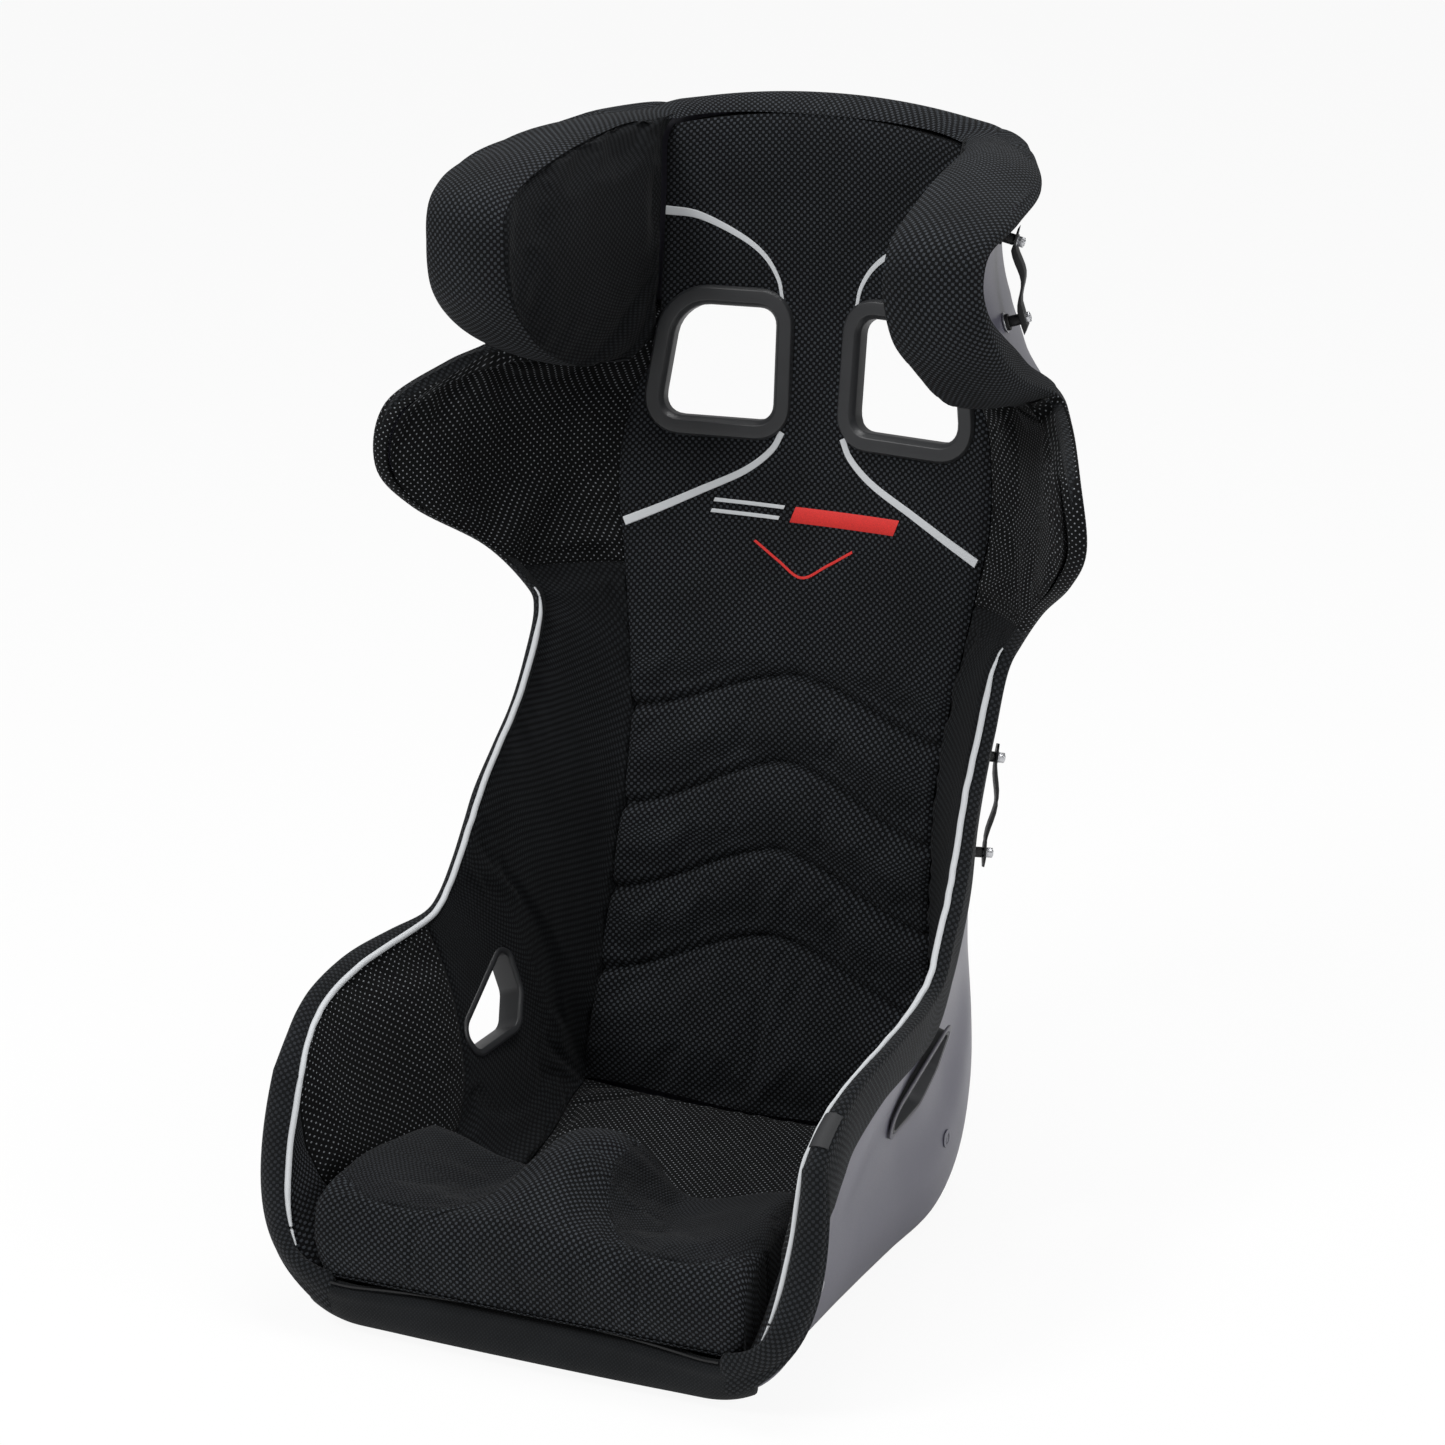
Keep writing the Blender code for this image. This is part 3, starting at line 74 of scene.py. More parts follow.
# Finishes
def linear(code: str) -> tuple[float, float, float, float]:
    """Linear RGBA of an sRGB hex colour."""
    parts = [int(code[k : k + 2], 16) / 255 for k in (0, 2, 4)]
    return (*[c / 12.92 if c <= 0.04045 else ((c + 0.055) / 1.055) ** 2.4 for c in parts], 1.0)


def add_node(tree: bpy.types.NodeTree, kind: str, inputs: dict | None = None, **settings) -> bpy.types.Node:
    """Adds a shader node.

    Args:
        tree: the material's node tree.
        kind: the node's type without its ShaderNode prefix.
        inputs: value or linked socket for each input, by name or number.
        settings: the node's own properties.

    Returns:
        The new node.
    """
    node = tree.nodes.new("ShaderNode" + kind)
    for key, value in settings.items():
        setattr(node, key, value)
    for key, value in (inputs or {}).items():
        if isinstance(value, bpy.types.NodeSocket):
            tree.links.new(value, node.inputs[key])
        else:
            node.inputs[key].default_value = value
    return node


@dataclass(frozen=True)
class Finish:
    """What a surface is made of and how it was made."""

    name: str
    slot: str

    def material(self) -> bpy.types.Material:
        """The finish's material, made once."""
        found = bpy.data.materials.get(self.name)
        if found is None:
            found = bpy.data.materials.new(self.name)
            found.use_nodes = True
            self.dress(found.node_tree, found.node_tree.nodes["Principled BSDF"])
        return found

    def dress(self, tree: bpy.types.NodeTree, shader: bpy.types.Node) -> None:
        """Sets the shader and its patterns.

        Args:
            tree: the material's node tree.
            shader: its Principled shader.
        """
        raise NotImplementedError


@dataclass(frozen=True)
class Knit(Finish):
    """Dull synthetic knit with a staggered relief and fine ribs, laid along the piece's own UV map.

    The eye gets raised lumps over a darker ground, and no gloss; the lumps' lighter colour is a painted highlight.
    """

    ground: str
    # colour of the lumps: a painted highlight, lighter than the ground
    raised: str
    pitch: float  # between two lumps of one row
    start: float  # height of the lattice wave where a lump begins
    relief: float
    rib: float  # between two ribs
    rib_relief: float
    roughness: float = 0.9
    sheen: float = 0.03
    raised_roughness: float = 0.75

    def dress(self, tree: bpy.types.NodeTree, shader: bpy.types.Node) -> None:
        """Knit relief, ribs, yarn grain, slow changes of tone and the lumps' painted highlight."""
        cloth = add_node(tree, "UVMap", uv_map="cloth")
        axes = add_node(tree, "SeparateXYZ", {0: cloth.outputs["UV"]})
        waves = []
        for axis, pitch in ((0, self.pitch), (1, self.pitch), (0, self.rib)):
            turn = add_node(tree, "Math", {0: axes.outputs[axis], 1: math.tau / (pitch * MM)}, operation="MULTIPLY")
            waves.append(add_node(tree, "Math", {0: turn.outputs[0]}, operation="COSINE").outputs[0])
        lattice = add_node(tree, "Math", {0: waves[0], 1: waves[1]}, operation="MULTIPLY")
        lump = add_node(
            tree,
            "MapRange",
            {"Value": lattice.outputs[0], "From Min": self.start, "From Max": min(self.start + 0.6, 1.0)},
            interpolation_type="SMOOTHSTEP",
        )
        yarn = add_node(tree, "TexNoise", {"Vector": cloth.outputs["UV"], "Scale": 1400.0, "Detail": 2.0})
        slow = add_node(tree, "TexNoise", {"Vector": cloth.outputs["UV"], "Scale": 16.0, "Detail": 2.0})
        yarn_breakup = add_node(tree, "MapRange", {"Value": yarn.outputs[0], "To Min": 0.5, "To Max": 1.1})
        mask = add_node(tree, "Math", {0: lump.outputs[0], 1: yarn_breakup.outputs[0]}, operation="MULTIPLY")
        # Mixes the ground with the lumps' colour, which is a painted highlight, broken up by the yarn noise.
        shade = add_node(
            tree,
            "Mix",
            {0: mask.outputs[0], 6: linear(self.ground), 7: linear(self.raised)},
            data_type="RGBA",
        )
        values = {"Value": slow.outputs[0], "From Min": 0.3, "From Max": 0.7, "To Min": 0.82, "To Max": 1.15}
        drift = add_node(tree, "MapRange", values)
        tone = add_node(tree, "HueSaturation", {"Value": drift.outputs[0], "Color": shade.outputs[2]})
        tree.links.new(tone.outputs[0], shader.inputs["Base Color"])
        matt = add_node(
            tree,
            "MapRange",
            {"Value": mask.outputs[0], "To Min": self.roughness, "To Max": self.raised_roughness},
        )
        tree.links.new(matt.outputs[0], shader.inputs["Roughness"])
        ribs = add_node(tree, "Math", {0: waves[2], 1: self.rib_relief * 0.5}, operation="MULTIPLY")
        values = {0: lump.outputs[0], 1: self.relief, 2: ribs.outputs[0]}
        high = add_node(tree, "Math", values, operation="MULTIPLY_ADD")
        fuzz = add_node(tree, "Math", {0: yarn.outputs[0], 1: 0.18, 2: high.outputs[0]}, operation="MULTIPLY_ADD")
        bump = add_node(tree, "Bump", {"Strength": 0.9, "Distance": MM, "Height": fuzz.outputs[0]})
        tree.links.new(bump.outputs[0], shader.inputs["Normal"])
        shader.inputs["Sheen Weight"].default_value = self.sheen
        shader.inputs["Sheen Roughness"].default_value = 0.5
        shader.inputs["Specular IOR Level"].default_value = 0.14


@dataclass(frozen=True)
class Pattern:
    """Fine pattern in Object coordinates, with the two values between which it drives something."""

    scale: float
    low: float
    high: float
    detail: float = 2.0
    beads: bool = False

    def height(self, tree: bpy.types.NodeTree) -> bpy.types.NodeSocket:
        """Socket with the pattern's height: a noise, or round beads."""
        where = {"Vector": add_node(tree, "TexCoord").outputs["Object"], "Scale": self.scale}
        if self.beads:
            return add_node(tree, "TexVoronoi", where).outputs["Distance"]
        return add_node(tree, "TexNoise", {**where, "Detail": self.detail}).outputs[0]

    def spread(self, tree: bpy.types.NodeTree) -> bpy.types.NodeSocket:
        """Socket with the pattern between its two values."""
        values = {"Value": self.height(tree), "To Min": self.low, "To Max": self.high}
        return add_node(tree, "MapRange", values).outputs[0]


@dataclass(frozen=True)
class Grained(Finish):
    """Surface whose brightness, gloss and relief each follow a pattern of how it was made."""

    colour: str
    stain: Pattern  # factors on the brightness
    gloss: Pattern | float  # roughness
    relief: Pattern | None = None  # strength, and height in mm
    settings: tuple[tuple[str, float], ...] = ()

    def dress(self, tree: bpy.types.NodeTree, shader: bpy.types.Node) -> None:
        """Colour, gloss and relief from their patterns."""
        tone = add_node(tree, "HueSaturation", {"Value": self.stain.spread(tree), "Color": linear(self.colour)})
        tree.links.new(tone.outputs[0], shader.inputs["Base Color"])
        if isinstance(self.gloss, Pattern):
            tree.links.new(self.gloss.spread(tree), shader.inputs["Roughness"])
        else:
            shader.inputs["Roughness"].default_value = self.gloss
        if self.relief:
            strength, deep, height = self.relief.low, self.relief.high * MM, self.relief.height(tree)
            bump = add_node(tree, "Bump", {"Strength": strength, "Distance": deep, "Height": height})
            tree.links.new(bump.outputs[0], shader.inputs["Normal"])
        for name, value in self.settings:
            shader.inputs[name].default_value = value


def moulded(name: str, slot: str, colour: str, roughness: float, grain: float = 0.12) -> Grained:
    """Injection-moulded plastic with a fine spark-eroded grain: dark and satin."""
    gloss = Pattern(1300.0, roughness - 0.08, roughness + 0.08)
    return Grained(name, slot, colour, Pattern(40.0, 0.85, 1.15), gloss, Pattern(1300.0, 0.4, grain))


def twisted(name: str, slot: str, colour: str) -> Grained:
    """Bonded nylon thread, or cloth woven of it: dull, broken up by its twist, which is drawn at 0.8 mm."""
    return Grained(name, slot, colour, Pattern(1200.0, 0.6, 1.3), 0.7)


# The raised colour of each knit is a painted highlight on its lumps; on the grip fabric it is the painted glint of
# its dots.
WAFFLE = Knit("waffle_knit_polyester", "waffle_knit", "090a0c", "3d4146", 5.6, -0.05, 0.9, 1.4, 0.08)
SMOOTH = Knit("fine_jersey_polyester", "smooth_knit", "0b0c0e", "232629", 5.6, -0.1, 0.35, 1.4, 0.1)
GRIP = Knit(
    "dotted_grip_fabric",
    "grip_fabric",
    "090a0b",
    "94989d",
    6.0,
    0.62,
    0.35,
    1.4,
    0.12,
    raised_roughness=0.45,
)
EDGE_KNIT = Knit("waffle_edge_cloth", "edge_cloth", "0f1113", "2c2f33", 5.6, -0.1, 0.6, 1.1, 0.1, sheen=0.06)
FELT = Knit("felted_edge_cloth", "edge_cloth", "141618", "1f2124", 3.2, 0.0, 0.12, 1.1, 0.15, sheen=0.1)
HOLLOW_KNIT = Knit("fine_rib_knit", "waffle_knit", "0c0d0f", "282b2f", 4.0, -0.1, 0.2, 2.4, 0.4, sheen=0.05)
# Pigmented polyester gelcoat out of a polished mould: smooth, softly glossy, faintly rippled.
GREY_GELCOAT = Grained(
    "grey_gelcoat",
    "gelcoat",
    "5b5a67",
    Pattern(7.0, 0.93, 1.06, 3.0),
    Pattern(900.0, 0.3, 0.42, 1.0),
    Pattern(55.0, 0.25, 0.2, 1.0),
    (("IOR", 1.52), ("Coat Weight", 0.25), ("Coat Roughness", 0.2)),
)
BEZEL_PLASTIC = moulded("glass_filled_nylon", "moulded_plastic", "2c2d2f", 0.4)
RING_PLASTIC = moulded("grey_nylon", "moulded_plastic", "53525a", 0.38)
RUBBER = moulded("black_polyurethane", "black_plastic", "111112", 0.5, 0.2)
# Bright zinc plate over steel: grey-silver, with fine turning marks that blur its reflections.
ZINC = Grained(
    "zinc_plated_steel",
    "zinc_steel",
    "c9cacd",
    Pattern(260.0, 0.8, 1.1),
    Pattern(2200.0, 0.22, 0.4),
    settings=(("Metallic", 1.0),),
)
# Glass beads on silver: pale and grainy. The beads are drawn at 0.7 mm, coarser than real, to show.
CORD = Grained(
    "reflective_cord",
    "reflective_cord",
    "eceef0",
    Pattern(1400.0, 1.06, 0.78, beads=True),
    0.42,
    Pattern(1400.0, 0.3, 0.2, beads=True),
)
RED_TAPE = twisted("red_woven_tape", "reflective_cord", "dd2a25")
LABEL_CLOTH = twisted("woven_label", "edge_cloth", "2c2d2f")
DARK_THREAD = twisted("dark_nylon_thread", "edge_cloth", "121315")


# Surfaces
def unit(vectors: Array) -> Array:
    """The vectors at length 1."""
    return vectors / np.maximum(np.linalg.norm(vectors, axis=-1, keepdims=True), 1e-9)


def hermite(rows: Array, s: Array) -> Array:
    """Smooth curve through rows of numbers, read at many stations.

    Args:
        rows: one row for each whole station.
        s: stations, of any shape.

    Returns:
        Rows of the curve, with the shape of s and one more axis.
    """
    last = len(rows) - 1
    i = np.clip(np.floor(s).astype(int), 0, last - 1)
    f = (s - i)[..., None]
    before, here = rows[np.maximum(i - 1, 0)], rows[i]
    there, after = rows[i + 1], rows[np.minimum(i + 2, last)]
    leave = (there - before) / np.where(i > 0, 2.0, 1.0)[..., None]
    arrive = (after - here) / np.where(i + 2 <= last, 2.0, 1.0)[..., None]
    f2, f3 = f * f, f * f * f
    return (2 * f3 - 3 * f2 + 1) * here + (f3 - 2 * f2 + f) * leave + (3 * f2 - 2 * f3) * there + (f3 - f2) * arrive


def spline(points: list, count: int) -> Array:
    """Smooth curve through points, at even steps of its length.

    Args:
        points: the points it passes through.
        count: how many points to return.

    Returns:
        Points of the curve.
    """
    rows = np.array(points, float)
    fine = hermite(rows, np.linspace(0, len(rows) - 1, 40 * len(rows)))
    run = np.concatenate([[0], np.cumsum(np.linalg.norm(np.diff(fine, axis=0), axis=1))])
    even = np.linspace(0, run[-1], count)
    return np.stack([np.interp(even, run, fine[:, k]) for k in range(rows.shape[1])], axis=1)


def blur(values: Array, width: float) -> Array:
    """Values along a path, evened out over a width counted in steps, with the ends kept."""
    reach = int(3 * width) + 1
    weights = np.exp(-0.5 * (np.arange(-reach, reach + 1) / width) ** 2)
    weights /= weights.sum()
    shape = values.reshape(len(values), -1)
    head = 2 * shape[0] - shape[reach:0:-1]
    tail = 2 * shape[-1] - shape[-2 : -reach - 2 : -1]
    long = np.concatenate([head, shape, tail])
    smooth = np.stack([np.convolve(long[:, k], weights, "valid") for k in range(shape.shape[1])], axis=1)
    return smooth.reshape(values.shape)


def eased(x: Array, xs: tuple, ys: tuple) -> Array:
    """Values read off a line through points, with its corners rounded."""
    fine = np.linspace(xs[0], xs[-1], 240)
    return np.interp(x, fine, blur(np.interp(fine, xs, ys), 9.0))


def bezier(p0: Array, p1: Array, p2: Array, p3: Array, count: int) -> Array:
    """Points of cubic curves, one curve for each row of the four ends, as (curve, point, 3)."""
    f = np.linspace(0, 1, count)[None, :, None]
    g = 1 - f
    a, b, c, d = (p[:, None, :] for p in (p0, p1, p2, p3))
    return g**3 * a + 3 * g * g * f * b + 3 * g * f * f * c + f**3 * d


@dataclass
class Bucket:
    """The shell's outer face and the padded face the driver meets, as smooth surfaces.

    Both are read at a station s, from the pan's front lip to the top edge, and a place across v:
    0 on the centre line, 1 at the sewn seam and 2 at the rim.
    """

    wall: float = 4.0
    gap: float = 1.0
    shell_rows: tuple = (
        (-296, 34, 253, -303, 29, 107, 229, -262, 192),
        (-298, 13, 249, -290, 10, 104, 229, -245, 208),
        (-286, 2, 239, -264, 1, 94, 230, -222, 224),
        (-250, 0, 226, -230, 0, 78, 231, -192, 234),
        (-180, 0, 220, -168, 0, 68, 232, -142, 240),
        (-90, 0, 208, -84, 0, 50, 229, -84, 243),
        (0, 0, 199, -2, 0, 36, 225, -42, 247),
        (78, 0, 196, 78, 0, 30, 224, -18, 260),
        (132, 20, 193, 131, 20, 28, 222, 2, 284),
        (160, 60, 191, 159, 60, 28, 221, 22, 309),
        (168, 110, 187, 167, 110, 27, 219, 39, 333),
        (174, 190, 171, 171, 190, 27, 215, 64, 363),
        (186, 260, 162, 181, 260, 27, 212, 90, 391),
        (203, 330, 160, 197, 330, 27, 211, 114, 423),
        (222, 395, 162, 215, 395, 27, 212, 134, 456),
        (238, 450, 171, 230, 450, 25, 220, 138, 474),
        (250, 500, 180, 240, 500, 25, 246, 120, 511),
        (258, 540, 186, 248, 540, 25, 284, 76, 550),
        (265, 580, 188, 255, 580, 25, 304, 55, 586),
        (272, 622, 187, 262, 620, 25, 296, 61, 636),
        (277, 652, 184, 267, 648, 25, 268, 116, 661),
        (280, 676, 181, 271, 672, 25, 244, 152, 673),
        (283, 704, 174, 273, 702, 25, 238, 88, 704),
        (285, 740, 158, 275, 740, 25, 236, 42, 740),
        (286, 776, 152, 276, 776, 25, 232, 24, 778),
        (287, 808, 152, 277, 806, 25, 232, 32, 812),
        (287, 834, 152, 277, 828, 25, 237, 76, 828),
        (287, 852, 154, 277, 841, 25, 229, 142, 837),
        (286, 866, 160, 276, 850, 25, 192, 226, 847),
    )
    pad_rows: tuple = (
        (-292, 47, 176, -298, 47, 216, -314, 213, -258, 190),
        (-284, 47, 176, -286, 47, 194, -292, 216, -240, 209),
        (-270, 48, 175, -266, 48, 188, -268, 219, -222, 221),
        (-240, 48, 171, -238, 49, 186, -236, 221, -192, 231),
        (-178, 48, 152, -176, 50, 184, -172, 222, -142, 237),
        (-90, 48, 126, -90, 50, 178, -88, 218, -84, 239),
        (0, 47, 135, 0, 51, 180, 0, 214, -41, 243),
        (62, 47, 150, 64, 53, 182, 64, 214, -17, 256),
        (104, 49, 157, 102, 56, 181, 102, 212, 3, 280),
        (114, 85, 154, 107, 85, 180, 107, 211, 23, 305),
        (128, 125, 149, 112, 125, 176, 112, 209, 40, 329),
        (146, 190, 146, 132, 187, 168, 132, 206, 65, 359),
        (158, 263, 141, 146, 258, 160, 146, 203, 91, 387),
        (177, 334, 138, 166, 334, 156, 166, 202, 115, 419),
        (196, 400, 144, 182, 400, 160, 182, 203, 135, 452),
        (208, 455, 152, 194, 455, 170, 194, 212, 138, 468),
        (217, 500, 159, 202, 500, 182, 202, 236, 120, 505),
        (225, 540, 165, 208, 540, 192, 208, 274, 76, 545),
        (233, 580, 164, 214, 580, 194, 214, 293, 54, 584),
        (240, 622, 157, 224, 620, 190, 224, 286, 59, 629),
        (245, 648, 146, 230, 644, 184, 230, 259, 112, 650),
        (249, 676, 140, 236, 664, 180, 236, 230, 150, 662),
        (252, 704, 138, 239, 704, 178, 239, 228, 90, 704),
        (254, 740, 136, 241, 740, 176, 241, 226, 60, 740),
        (255, 776, 134, 242, 776, 174, 242, 224, 50, 778),
        (255, 808, 133, 243, 808, 172, 243, 224, 50, 812),
        (256, 832, 132, 244, 830, 170, 244, 224, 80, 828),
        (258, 848, 128, 247, 842, 166, 247, 222, 142, 837),
        (261, 858, 122, 252, 850, 156, 252, 188, 226, 847),
    )
    tuck_at: tuple = (1.0, 2.0, 3.0, 4.5, 6.0, 8.0, 10.0, 13.0, 21.6, 23.0, 26.4, 27.6)
    tuck: tuple = (0.0, 8.0, 18.0, 30.0, 34.0, 30.0, 16.0, 0.0, 0.0, -20.0, -20.0, 0.0)
    low_at: tuple = (4.2, 5.5, 6.5, 10.0, 12.0, 14.0, 15.2, 16.5)
    low: tuple = (0.0, 0.012, 0.024, 0.024, 0.04, 0.05, 0.03, 0.0)
    dent: float = 8.0
    dent_place: tuple = (6.6, 1.66)

    def __post_init__(self) -> None:
        """Keeps the rows as arrays."""
        self.shell_table = np.array(self.shell_rows, float)
        self.pad_table = np.array(self.pad_rows, float)
        self.last = len(self.shell_rows) - 1

    def rim_at(self, s: Array) -> Array:
        """Place across of the shell's moulded edge, a little below the padding's edge at the waist."""
        return 2.0 - np.interp(s, self.low_at, self.low)

    def _across(self, centre: Array, seam: Array, crease: Array, rim: Array, s: Array, v: Array) -> Array:
        """Point of a section: a shallow curve out to the seam, then a rounded wall up to the rim.

        Args:
            centre: point on the centre line.
            seam: point where the wall begins.
            crease: corner that the wall rounds off.
            rim: top of the wall.
            s: station.
            v: place across, negative on the left.

        Returns:
            Points with the shape of v and one more axis.
        """
        side = np.where(v < 0, -1.0, 1.0)
        v = np.abs(v)[..., None]
        low = np.minimum(v, 1.0)
        flat = centre + (seam - centre) * low**2
        flat[..., 0] = (low * seam[..., :1])[..., 0]
        draw = np.interp(s, self.tuck_at, self.tuck)
        arrive = rim + 0.6 * (crease - rim)
        arrive[..., 0] -= draw
        leave = seam + 0.75 * (crease - seam)
        f = np.clip(v - 1.0, 0.0, 1.0)
        g = 1.0 - f
        wall = g**3 * seam + 3 * g * g * f * leave + 3 * g * f * f * arrive + f**3 * rim
        point = np.where(v <= 1.0, flat, wall)
        point[..., 0] *= side
        return point

    def shell(self, s: Array, v: Array, out: float = 0.0) -> Array:
        """Points of the shell's outer face, moved out along the normal if asked."""
        s, v = np.broadcast_arrays(np.asarray(s, float), np.asarray(v, float))
        row = hermite(self.shell_table, s)
        centre = np.stack([np.zeros_like(s), row[..., 0], row[..., 1]], axis=-1)
        crease = row[..., 2:5]
        seam = crease + (centre - crease) * (row[..., 5:6] / crease[..., :1])
        point = self._across(centre, seam, crease, row[..., 6:9], s, v)
        point[..., 2] = np.maximum(point[..., 2], 0.0)
        far = ((s - self.dent_place[0]) / 3.0) ** 2 + ((np.abs(v) - self.dent_place[1]) / 0.17) ** 2
        point[..., 0] -= np.where(v < 0, -1.0, 1.0) * self.dent * np.exp(-(far**2))
        return point + self.normal(self.shell, s, v) * out if out else point

    def pad(self, s: Array, v: Array, out: float = 0.0) -> Array:
        """Points of the padded face, moved away from the driver along the normal if asked."""
        s, v = np.broadcast_arrays(np.asarray(s, float), np.asarray(v, float))
        row = hermite(self.pad_table, s)
        centre = np.stack([np.zeros_like(s), row[..., 0], row[..., 1]], axis=-1)
        seam = row[..., 2:5]
        crease = np.stack([row[..., 5], row[..., 6], seam[..., 2]], axis=-1)
        point = self._across(centre, seam, crease, row[..., 7:10], s, v)
        return point + self.normal(self.pad, s, v) * out if out else point

    def normal(self, face, s: Array, v: Array) -> Array:
        """Unit normal of a face, away from the driver.

        Args:
            face: the shell or the pad method.
            s: stations.
            v: places across.

        Returns:
            Normals with the shape of s and one more axis.
        """
        step = 0.02
        side = np.where(v < 0, -1.0, 1.0)
        low, high = np.maximum(np.abs(v) - step, 0.0), np.minimum(np.abs(v) + step, 2.0)
        along = face(np.minimum(s + step, self.last), v) - face(np.maximum(s - step, 0.0), v)
        outwards = (face(s, side * high) - face(s, side * low)) * side[..., None]
        return unit(np.cross(along, outwards))

    def station_at(self, face, z: Array, v: Array) -> Array:
        """Stations on the back where a face has these heights.

        Args:
            face: the shell or the pad method.
            z: heights, one row for each row of the result.
            v: places across, one for each column.

        Returns:
            Stations as (row, column).
        """
        s = np.linspace(7.2, self.last, 900)
        found = np.empty_like(z)
        for j, place in enumerate(v):
            heights = np.maximum.accumulate(face(s, np.full_like(s, place))[:, 2] + s * 1e-6)
            found[:, j] = np.interp(z[:, j], heights, s)
        return found

    def spot(self, y: float, z: float) -> Place:
        """Place on the shell's right wall at this y and z."""
        s0, s1, v0, v1 = 0.0, float(self.last), 1.02, 1.98
        for _ in range(5):
            s, v = np.meshgrid(np.linspace(s0, s1, 60), np.linspace(v0, v1, 60), indexing="ij")
            miss = np.linalg.norm(self.shell(s, v)[..., 1:] - (y, z), axis=-1)
            i, j = np.unravel_index(np.argmin(miss), miss.shape)
            ds, dv = (s1 - s0) / 20, (v1 - v0) / 20
            s0, s1 = max(s[i, j] - ds, 0.0), min(s[i, j] + ds, self.last)
            v0, v1 = max(v[i, j] - dv, 1.02), min(v[i, j] + dv, 1.98)
        return float(s[i, j]), float(v[i, j])


BUCKET = Bucket()


# Meshes
def lengths(points: Array, axis: int) -> Array:
    """Distance run along each line of a grid of points."""
    steps = np.linalg.norm(np.diff(points, axis=axis), axis=-1)
    start = np.zeros_like(np.take(steps, [0], axis=axis))
    return np.concatenate([start, np.cumsum(steps, axis=axis)], axis=axis)


def cloth_uv(front: Array) -> Array:
    """Metres along the two ways of a grid, measured out from its middle lines."""
    across, along = lengths(front, 1), lengths(front, 0)
    columns = front.shape[1]
    u = across - across[:, columns // 2 : columns // 2 + 1]
    v = np.broadcast_to(along[:, columns // 2 : columns // 2 + 1], u.shape)
    return np.stack([u, v], axis=-1) * MM


def build(
    name: str, points: Array, faces: list, uv: Array | None, finish: Finish, smooth: float = 60.0
) -> bpy.types.Object:
    """Mesh object in metres with its faces turned outwards.

    Args:
        name: the piece's name.
        points: points in millimetres.
        faces: corner numbers of each face.
        uv: metres along the cloth at each point, or nothing.
        finish: what it is made of.
        smooth: angle in degrees up to which edges are shaded smooth.

    Returns:
        The object, linked to the scene.
    """
    mesh = bpy.data.meshes.new(name)
    mesh.from_pydata((np.asarray(points) * MM).tolist(), [], faces)
    if uv is not None:
        layer = mesh.uv_layers.new(name="cloth")
        corners = np.empty(len(mesh.loops), dtype=np.int32)
        mesh.loops.foreach_get("vertex_index", corners)
        layer.data.foreach_set("uv", np.asarray(uv, np.float32)[corners].ravel())
    work = bmesh.new()
    work.from_mesh(mesh)
    bmesh.ops.recalc_face_normals(work, faces=work.faces)
    if work.calc_volume(signed=True) < 0:
        bmesh.ops.reverse_faces(work, faces=work.faces)
    work.to_mesh(mesh)
    work.free()
    mesh.shade_smooth()
    mesh.set_sharp_from_angle(angle=math.radians(smooth))
    made = bpy.data.objects.new(name, mesh)
    bpy.context.scene.collection.objects.link(made)
    made.data.materials.append(finish.material())
    return made


def border_of(rows: int, columns: int) -> list[Place]:
    """Index pairs round the border of a grid."""
    top = [(0, j) for j in range(columns)]
    right = [(i, columns - 1) for i in range(1, rows)]
    bottom = [(rows - 1, j) for j in range(columns - 2, -1, -1)]
    left = [(i, 0) for i in range(rows - 2, 0, -1)]
    return top + right + bottom + left


def face_out(front: Array, back: Array) -> Array:
    """Unit normals of a grid of points, away from the grid behind it."""
    n = unit(np.cross(np.gradient(front, axis=0), np.gradient(front, axis=1)))
    return n if float(((front - back) * n).sum()) > 0 else -n


@dataclass
class Seam:
    """How a panel dips where it is sewn to its neighbour."""

    depth: float = 3.6
    radius: float = 7.0
    puff: float = 1.2
    reach: float = 22.0


def sewn(front: Array, back: Array, seam: Seam, open_sides: str = "") -> Array:
    """The panel's face with its borders drawn in and its middle filled out.

    Args:
        front: grid of points on the face.
        back: grid of points behind it.
        seam: how it dips.
        open_sides: letters of borders that aren't sewn: s start, e end, l low column, h high column.

    Returns:
        The moved grid.
    """
    across, along = lengths(front, 1), lengths(front, 0)
    far = np.full(front.shape[:2], 1e6)
    for letter, distance in (
        ("l", across),
        ("h", across[:, -1:] - across),
        ("s", along),
        ("e", along[-1:] - along),
    ):
        if letter not in open_sides:
            far = np.minimum(far, distance)
    near = np.clip(1 - far / seam.radius, 0, 1)
    drop = seam.depth * (1 - np.sqrt(1 - near**2))
    swell = seam.puff * (1 - np.exp(-far / seam.reach))
    return front + face_out(front, back) * (swell - drop)[..., None]


